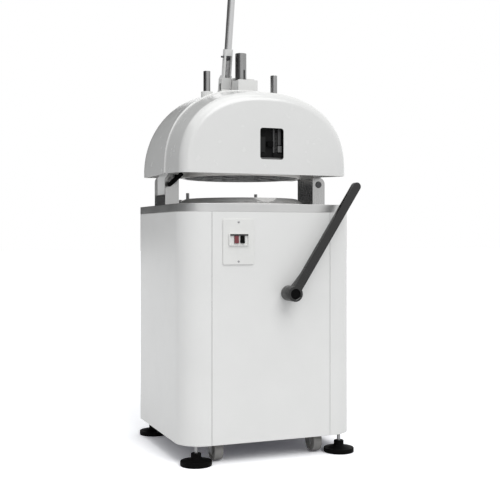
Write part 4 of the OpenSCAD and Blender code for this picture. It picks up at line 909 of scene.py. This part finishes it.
class HeadOperator(bpy.types.Operator):
    """Head plate, guide sleeves, gear housing and portion scale"""

    bl_idname = "rounder.head"
    bl_label = "Head works"

    # Lock cheek in the left post: its near and far side, its room across and its lower end
    cheek_in, cheek_out, cheek_room, cheek_low = 0.0075, 0.0115, 0.0095, 0.9384
    # Side plate of the housing: its length, the cap over it, its depth into the dome, thickness and gap
    side_long, side_cap, side_deep, side_thick, side_gap = 0.060, 0.014, 0.06, 0.001, 0.0008
    # Bars behind the window: name, finish, low and high corner in x and z from the scale's middle
    bars = (("inner_rail", "rail_grey", (0.012, -0.030), (0.018, 0.056)),
            ("outer_rail", "rail_grey", (0.031, -0.002), (0.043, 0.056)),
            ("stop_block", "tick_paint", (0.031, -0.028), (0.046, -0.005)),
            # The left rail's darker grey is painted shade.
            ("left_rail", "rail_shade", (-0.040, -0.030), (-0.018, 0.026)),
            # The shelves' near-black finish is painted shade.
            ("shelf_left", "dark_recess", (-0.046, -0.046), (-0.013, -0.032)),
            ("shelf_right", "dark_recess", (0.013, -0.046), (0.046, -0.032)),
            ("sill_rail", "tick_paint", (-0.046, -0.057), (0.046, -0.048)))
    plate_thick, bar_thick = 0.004, 0.006
    # Ticks: their number and step, their place from the scale's middle, and how far they stand out
    tick_count, tick_step, tick_side, tick_low, tick_out = 17, 0.005, 0.026, -0.04, 0.0003

    def execute(self, context):
        dressed("head_plate", "head_casting", "casting_enamel", edge=1.2)
        self.lock_cheek()
        dressed("guide_sleeves", "guide_bushes", "casting_enamel", edge=1.2)
        dressed("gear_housing", "rack_housing", "casting_enamel", edge=1.5)
        self.housing_cheek()
        dressed("portion_slider", "portion_pointer", "black_plastic", edge=1.5, steps=3)
        self.scale()
        return {"FINISHED"}

    def lock_cheek(self):
        """The lock lug's outer cheek, in the left post."""
        low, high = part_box("left_post")
        cheek = block("lock_cheek", (low.x + self.cheek_in, low.y + self.cheek_room, self.cheek_low),
                      (low.x + self.cheek_out, high.y - self.cheek_room, FRONT_LOW.z), "casting_enamel")
        settled(softened(cheek, 0.0008), [], "head")

    def housing_cheek(self):
        """The side plate that closes the gear housing's front."""
        low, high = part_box("gear_housing")
        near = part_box("ram")[0].x - PLAY
        gap, foot = self.side_gap, FRONT_HIGH.z - self.side_deep
        side = block("housing_cheek", (near - self.side_thick, low.y + gap, foot),
                     (near, low.y + self.side_long, high.z - self.side_cap - gap), "casting_enamel")
        beside(softened(side, 0.0003), "gear_housing")

    def scale(self):
        """The plate, bars and ticks behind the window."""
        low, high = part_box("portion_scale")
        face, place = high.y - self.plate_thick, middle("portion_scale")
        # The plate's near-black finish is partly its own dark, partly painted shade of the head's inside.
        plate = block("portion_plate", (low.x, face, low.z), high, "dark_recess")
        settled(softened(plate, 0.0006), "portion_scale")
        for name, finish, a, b in self.bars:
            bar = block("portion_" + name, (place.x + a[0], face - self.bar_thick, place.z + a[1]),
                        (place.x + b[0], face, place.z + b[1]), finish)
            settled(softened(bar, 0.0008), [], "head")
        values = {"Count": self.tick_count, "Step": self.tick_step}
        ticks = grown("portion_ticks", tick_tree(), values, "tick_paint")
        start = (place.x + self.tick_side, face - self.tick_out, place.z + self.tick_low)
        ticks.data.transform(Matrix.Translation(start))
        settled(ticks, [], "head")


class PressOperator(bpy.types.Operator):
    """Ram, guide rods, press ring, knives and press segments"""

    bl_idname = "rounder.press"
    bl_label = "Press"

    def execute(self, context):
        dressed("ram", "rack_ram", "ram_steel")
        dressed("guide_rods", "guide_bars", "rod_steel", edge=1.2)
        dressed("crosshead", "ring_carrier", "ring_alloy", edge=1.0)
        dressed("press_ring", "dough_ring", "ring_alloy", edge=1.2)
        finished("divider_knives", "knife_steel")
        finished("press_segments", "knife_steel")
        return {"FINISHED"}


class PressLeverOperator(bpy.types.Operator):
    """Press lever with its pinion, tube, grip, latch and spring"""

    bl_idname = "rounder.press_lever"
    bl_label = "Press lever"

    # Slot in the casting's left side: its corners in y and z, its depth and the dark sheet of painted shade
    # in it
    slot_low, slot_high, slot_deep, slot_sheet = (0.088, 1.350), (0.106, 1.377), 0.004, 0.0012
    # Radius of the spring's wire, and the latch's travel, which shortens the spring
    wire, latch_travel = 0.0016, 0.008

    def execute(self, context):
        dressed("pinion_shaft", "pinion_and_shaft", "dark_steel", edge=0.6)
        self.casting()
        dressed("lever_tube", "lever_bar", "tube_steel", edge=0.5)
        dressed("lever_grip", "lever_handgrip", "black_rubber", edge=2.0, steps=3)
        dressed("latch_plunger", "latch_bolt", "oxide_steel", edge=0.6)
        self.spring(context.scene.rounder_levers)
        return {"FINISHED"}

    def casting(self):
        """The lever head with its slot, and a dark sheet in the slot as painted shade."""
        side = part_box("lever_head")[0].x
        bottom = side + self.slot_deep
        slot = block("slot", (side - OVER / 2, *self.slot_low), (bottom, *self.slot_high))
        casting = carved(cad_copy("lever_head", "lever_casting", "casting_enamel"), [slot])
        settled(softened(casting, 0.0014, 3), "lever_head")
        # A near-black sheet at the slot's bottom paints the shade in the slot.
        inside = block("lever_slot", (bottom - self.slot_sheet, *self.slot_low), (bottom, *self.slot_high),
                       "dark_recess")
        beside(softened(inside, 0.0002), "lever_head")

    def spring(self, size):
        """The latch spring, wound along the leaning lever."""
        low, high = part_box("latch_spring")
        along = Vector((0, -math.sin(size.lean), math.cos(size.lean)))
        wire, outer = self.wire, (high.x - low.x) / 2
        reach = ((high.z - low.z) - 2 * (outer * math.sin(size.lean))) / math.cos(size.lean)
        values = {"Turns": float(size.turns), "Radius": outer - wire, "Wire": wire,
                  "Height": reach - 2 * wire}
        spring = grown("latch_coil", spring_tree(), values, "spring_zinc")
        foot = (low + high) / 2 - along * (reach / 2 - wire)
        spring.data.transform(Matrix.Translation(foot) @ Matrix.Rotation(size.lean, 4, "X"))
        settled(spring, "latch_spring")
        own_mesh(spring)


class TableOperator(bpy.types.Operator):
    """Rounding table with its stop pins"""

    bl_idname = "rounder.table"
    bl_label = "Rounding table"

    # Bevel of the rim: how far in it starts and ends, its depth, its cutter's reach and its end at the back
    bevel_out, bevel_in, bevel_deep, bevel_past, bevel_back = 0.0005, 0.028, 0.020, 0.004, 0.11
    # Plate in the dish, as (distance in from the rim, depth below its top), and its underside
    plate_rim, plate_deep = ((0.0083, 0.0138), (0.0240, 0.0012), (0.0290, 0.0)), 0.0155
    # Finger notch: half its width, its depth, its place to the right, and its reach inwards and outwards
    notch_half, notch_deep, notch_right, notch_reach, notch_past = 0.047, 0.017, 0.013, 0.032, 0.01

    def execute(self, context):
        low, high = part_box("rounding_table")
        r, top = (high.x - low.x) / 2, high.z
        centre = Vector(((low.x + high.x) / 2, RAM.y, 0))
        foot, crest, past = top - self.bevel_deep, top + OVER, r + self.bevel_past
        outer, inner = r - self.bevel_out, r - self.bevel_in
        edge = lathe("edge", [(outer, foot), (past, foot), (past, crest), (inner, crest)],
                     "table_alloy", centre, sides=96)
        carved(edge, [block("back", centre + Vector((-1, self.bevel_back, 0)), centre + Vector((1, 1, 2)))])
        table = cad_copy("rounding_table", "turning_table", "table_alloy")
        settled(softened(carved(table, [edge, self.notch(centre, r, top)]), 0.0008), "rounding_table")
        under = top - self.plate_deep
        rim = [(r - a, top - b) for a, b in self.plate_rim]
        plate = lathe("table_plate", [(0, under), (rim[0][0], under), *rim, (0, top)], "table_alloy", centre,
                      sides=96)
        beside(softened(carved(plate, [self.notch(centre, r, top)]), 0), "rounding_table")
        dressed("plate_pins", "plate_stops", "dark_steel", edge=1.2)
        return {"FINISHED"}

    def notch(self, centre, r, top):
        """Cutter of the finger notch in the rim."""
        wide, deep = self.notch_half, self.notch_deep
        bend = (wide * wide + deep * deep) / (2 * deep)
        place = Vector((centre.x + self.notch_right, centre.y - r, top - deep + bend))
        return cylinder("notch", bend, -self.notch_past, self.notch_reach, "table_alloy", place, "Y",
                        sides=128)


class RoundingLeverOperator(bpy.types.Operator):
    """Rounding lever: a flared arm on a round hub"""

    bl_idname = "rounder.rounding_lever"
    bl_label = "Rounding lever"

    # Recess in the hub: its radius and depth; the dark disc in it, painted shade of the hub's hole: its
    # thickness and play
    recess_radius, recess_deep, disc_thick, disc_play = 0.0185, 0.004, 0.0012, 0.0002

    def execute(self, context):
        r, deep = self.recess_radius, self.recess_deep
        axis = next(j["pos_m"] for j in BEHAVIOUR["joints"] if j["name"] == "rounding_lever_swing")
        hub = Vector((axis[0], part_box("rounding_lever")[0].y, axis[2]))
        lever = softened(cad_copy("rounding_lever", "table_lever", "black_enamel"), 0.004, 4)
        recess = cylinder("recess", r, -OVER, deep, "black_enamel", hub, "Y")
        settled(softened(carved(lever, [recess]), 0), "rounding_lever")
        # A black disc at the recess's bottom paints the hub's hole dark.
        disc = cylinder("table_lever_cap", r - self.disc_play, deep - self.disc_thick, deep,
                        "black_plastic", hub, "Y")
        beside(softened(disc, 0.0003), "rounding_lever")
        return {"FINISHED"}


class SwitchOperator(bpy.types.Operator):
    """Switch plate with its frame, buttons and screws"""

    bl_idname = "rounder.switch"
    bl_label = "Switch"

    plate_round, frame_round = 0.006, 0.003
    # Recess of the frame: its rim at the sides, its rim above and below, its depth; the buttons' play
    rim_side, rim_up, recess_deep, button_play = 0.0035, 0.0025, 0.0052, 0.0004
    # Depths of a rocker's upper edge, middle and lower edge below the frame's face
    rocker_deep = (0.0030, 0.0012, 0.0004)
    # Black seal over the buttons, which also paints the shadow under the recess's top: its play in the
    # recess, its height and the depths that it fills
    seal_play, seal_tall, seal_near, seal_far = 0.0001, 0.0052, 0.0006, 0.0032
    screw_sunk = 0.002

    def execute(self, context):
        low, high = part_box("switch_plate")
        plate = prism("switch_cover", rounded(low, high, self.plate_round), low.y, high.y, "white_plastic")
        settled(softened(plate, 0.0014, 3), "switch_plate")
        self.frame()
        low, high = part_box("switch_screws")
        r = (high.x - low.x) / 2
        points = [((low.x + high.x) / 2, low.y + self.screw_sunk, z) for z in (low.z + r, high.z - r)]
        screws = grown("switch_cross_screws", screw_tree(), {"Radius": r}, "dark_steel", points)
        settled(screws, "switch_screws")
        return {"FINISHED"}

    def frame(self):
        """The frame with its recess, its two rockers and its black seal, which also paints the shadow at the
        recess's top.
        """
        low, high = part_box("switch_frame")
        side, up, play = self.rim_side, self.rim_up, self.button_play
        cutters = [block("recess", (low.x + side, low.y - OVER / 2, low.z + up),
                         (high.x - side, low.y + self.recess_deep, high.z - up))]
        for node, name, finish in (("stop_button", "stop_rocker", "red_plastic"),
                                   ("start_button", "start_rocker", "black_plastic")):
            a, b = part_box(node)
            cutters.append(block("hole", (a.x - play, low.y, a.z - play),
                                 (b.x + play, high.y + OVER / 2, b.z + play)))
            outline = [(b.y, a.z), (b.y, b.z)]
            outline += [(low.y + d, z) for d, z in zip(self.rocker_deep, (b.z, (a.z + b.z) / 2, a.z))]
            settled(softened(prism(name, outline, a.x, b.x, finish, "X"), 0.0009, 3), node)
        bezel = prism("switch_bezel", rounded(low, high, self.frame_round), low.y, high.y, "white_plastic")
        settled(softened(carved(bezel, cutters), 0.0005), "switch_frame")
        side, top = side + self.seal_play, high.z - up - self.seal_play
        # The seal is black, and it also paints the shadow under the recess's top edge.
        seal = block("switch_seal", (low.x + side, low.y + self.seal_near, top - self.seal_tall),
                     (high.x - side, low.y + self.seal_far, top), "black_rubber")
        settled(softened(seal, 0.0006), [], "base")


class DriveOperator(bpy.types.Operator):
    """Motor, belt, crank and lift inside the cabinet, and the cable gland"""

    bl_idname = "rounder.drive"
    bl_label = "Drive"

    def execute(self, context):
        for node in ("guide_housing", "drive_pulley"):
            finished(node, "cast_iron")
        for node in ("motor_pulley", "crankshaft", "lift_sleeve", "idler_crank_left", "idler_crank_right",
                     "shaft_bearings", "lever_shaft"):
            finished(node, "dark_steel")
        finished("motor", "motor_enamel")
        finished("drive_belt", "black_rubber")
        dressed("cable_gland", "cord_gland", "black_plastic")
        return {"FINISHED"}


STEPS = (StageOperator, CabinetOperator, FeetOperator, PostsOperator, CoversOperator, HeadOperator,
         PressOperator, PressLeverOperator, TableOperator, RoundingLeverOperator, SwitchOperator,
         DriveOperator)


class RounderPanel(bpy.types.Panel):
    """Lists the steps and the sizes that a user would change"""

    bl_idname = "VIEW3D_PT_rounder"
    bl_label = "Divider Rounder"
    bl_space_type = "VIEW_3D"
    bl_region_type = "UI"
    bl_category = "Rounder"

    def draw(self, context):
        scene = context.scene
        for step in STEPS:
            self.layout.operator(step.bl_idname, text=step.bl_label)
        for group in (scene.rounder_dome, scene.rounder_levers, scene.rounder_colours):
            box = self.layout.box()
            for name in group.__annotations__:
                box.prop(group, name)


CLASSES = (DomeSizes, LeverSizes, FinishColours, *STEPS, RounderPanel)


def register():
    for cls in CLASSES:
        bpy.utils.register_class(cls)
    bpy.types.Scene.rounder_dome = PointerProperty(type=DomeSizes)
    bpy.types.Scene.rounder_levers = PointerProperty(type=LeverSizes)
    bpy.types.Scene.rounder_colours = PointerProperty(type=FinishColours)


def unregister():
    del bpy.types.Scene.rounder_colours
    del bpy.types.Scene.rounder_levers
    del bpy.types.Scene.rounder_dome
    for cls in reversed(CLASSES):
        bpy.utils.unregister_class(cls)


def main():
    register()
    make_finishes()
    for step in STEPS:
        group, name = step.bl_idname.split(".")
        getattr(getattr(bpy.ops, group), name)()


if __name__ == "__main__":
    main()
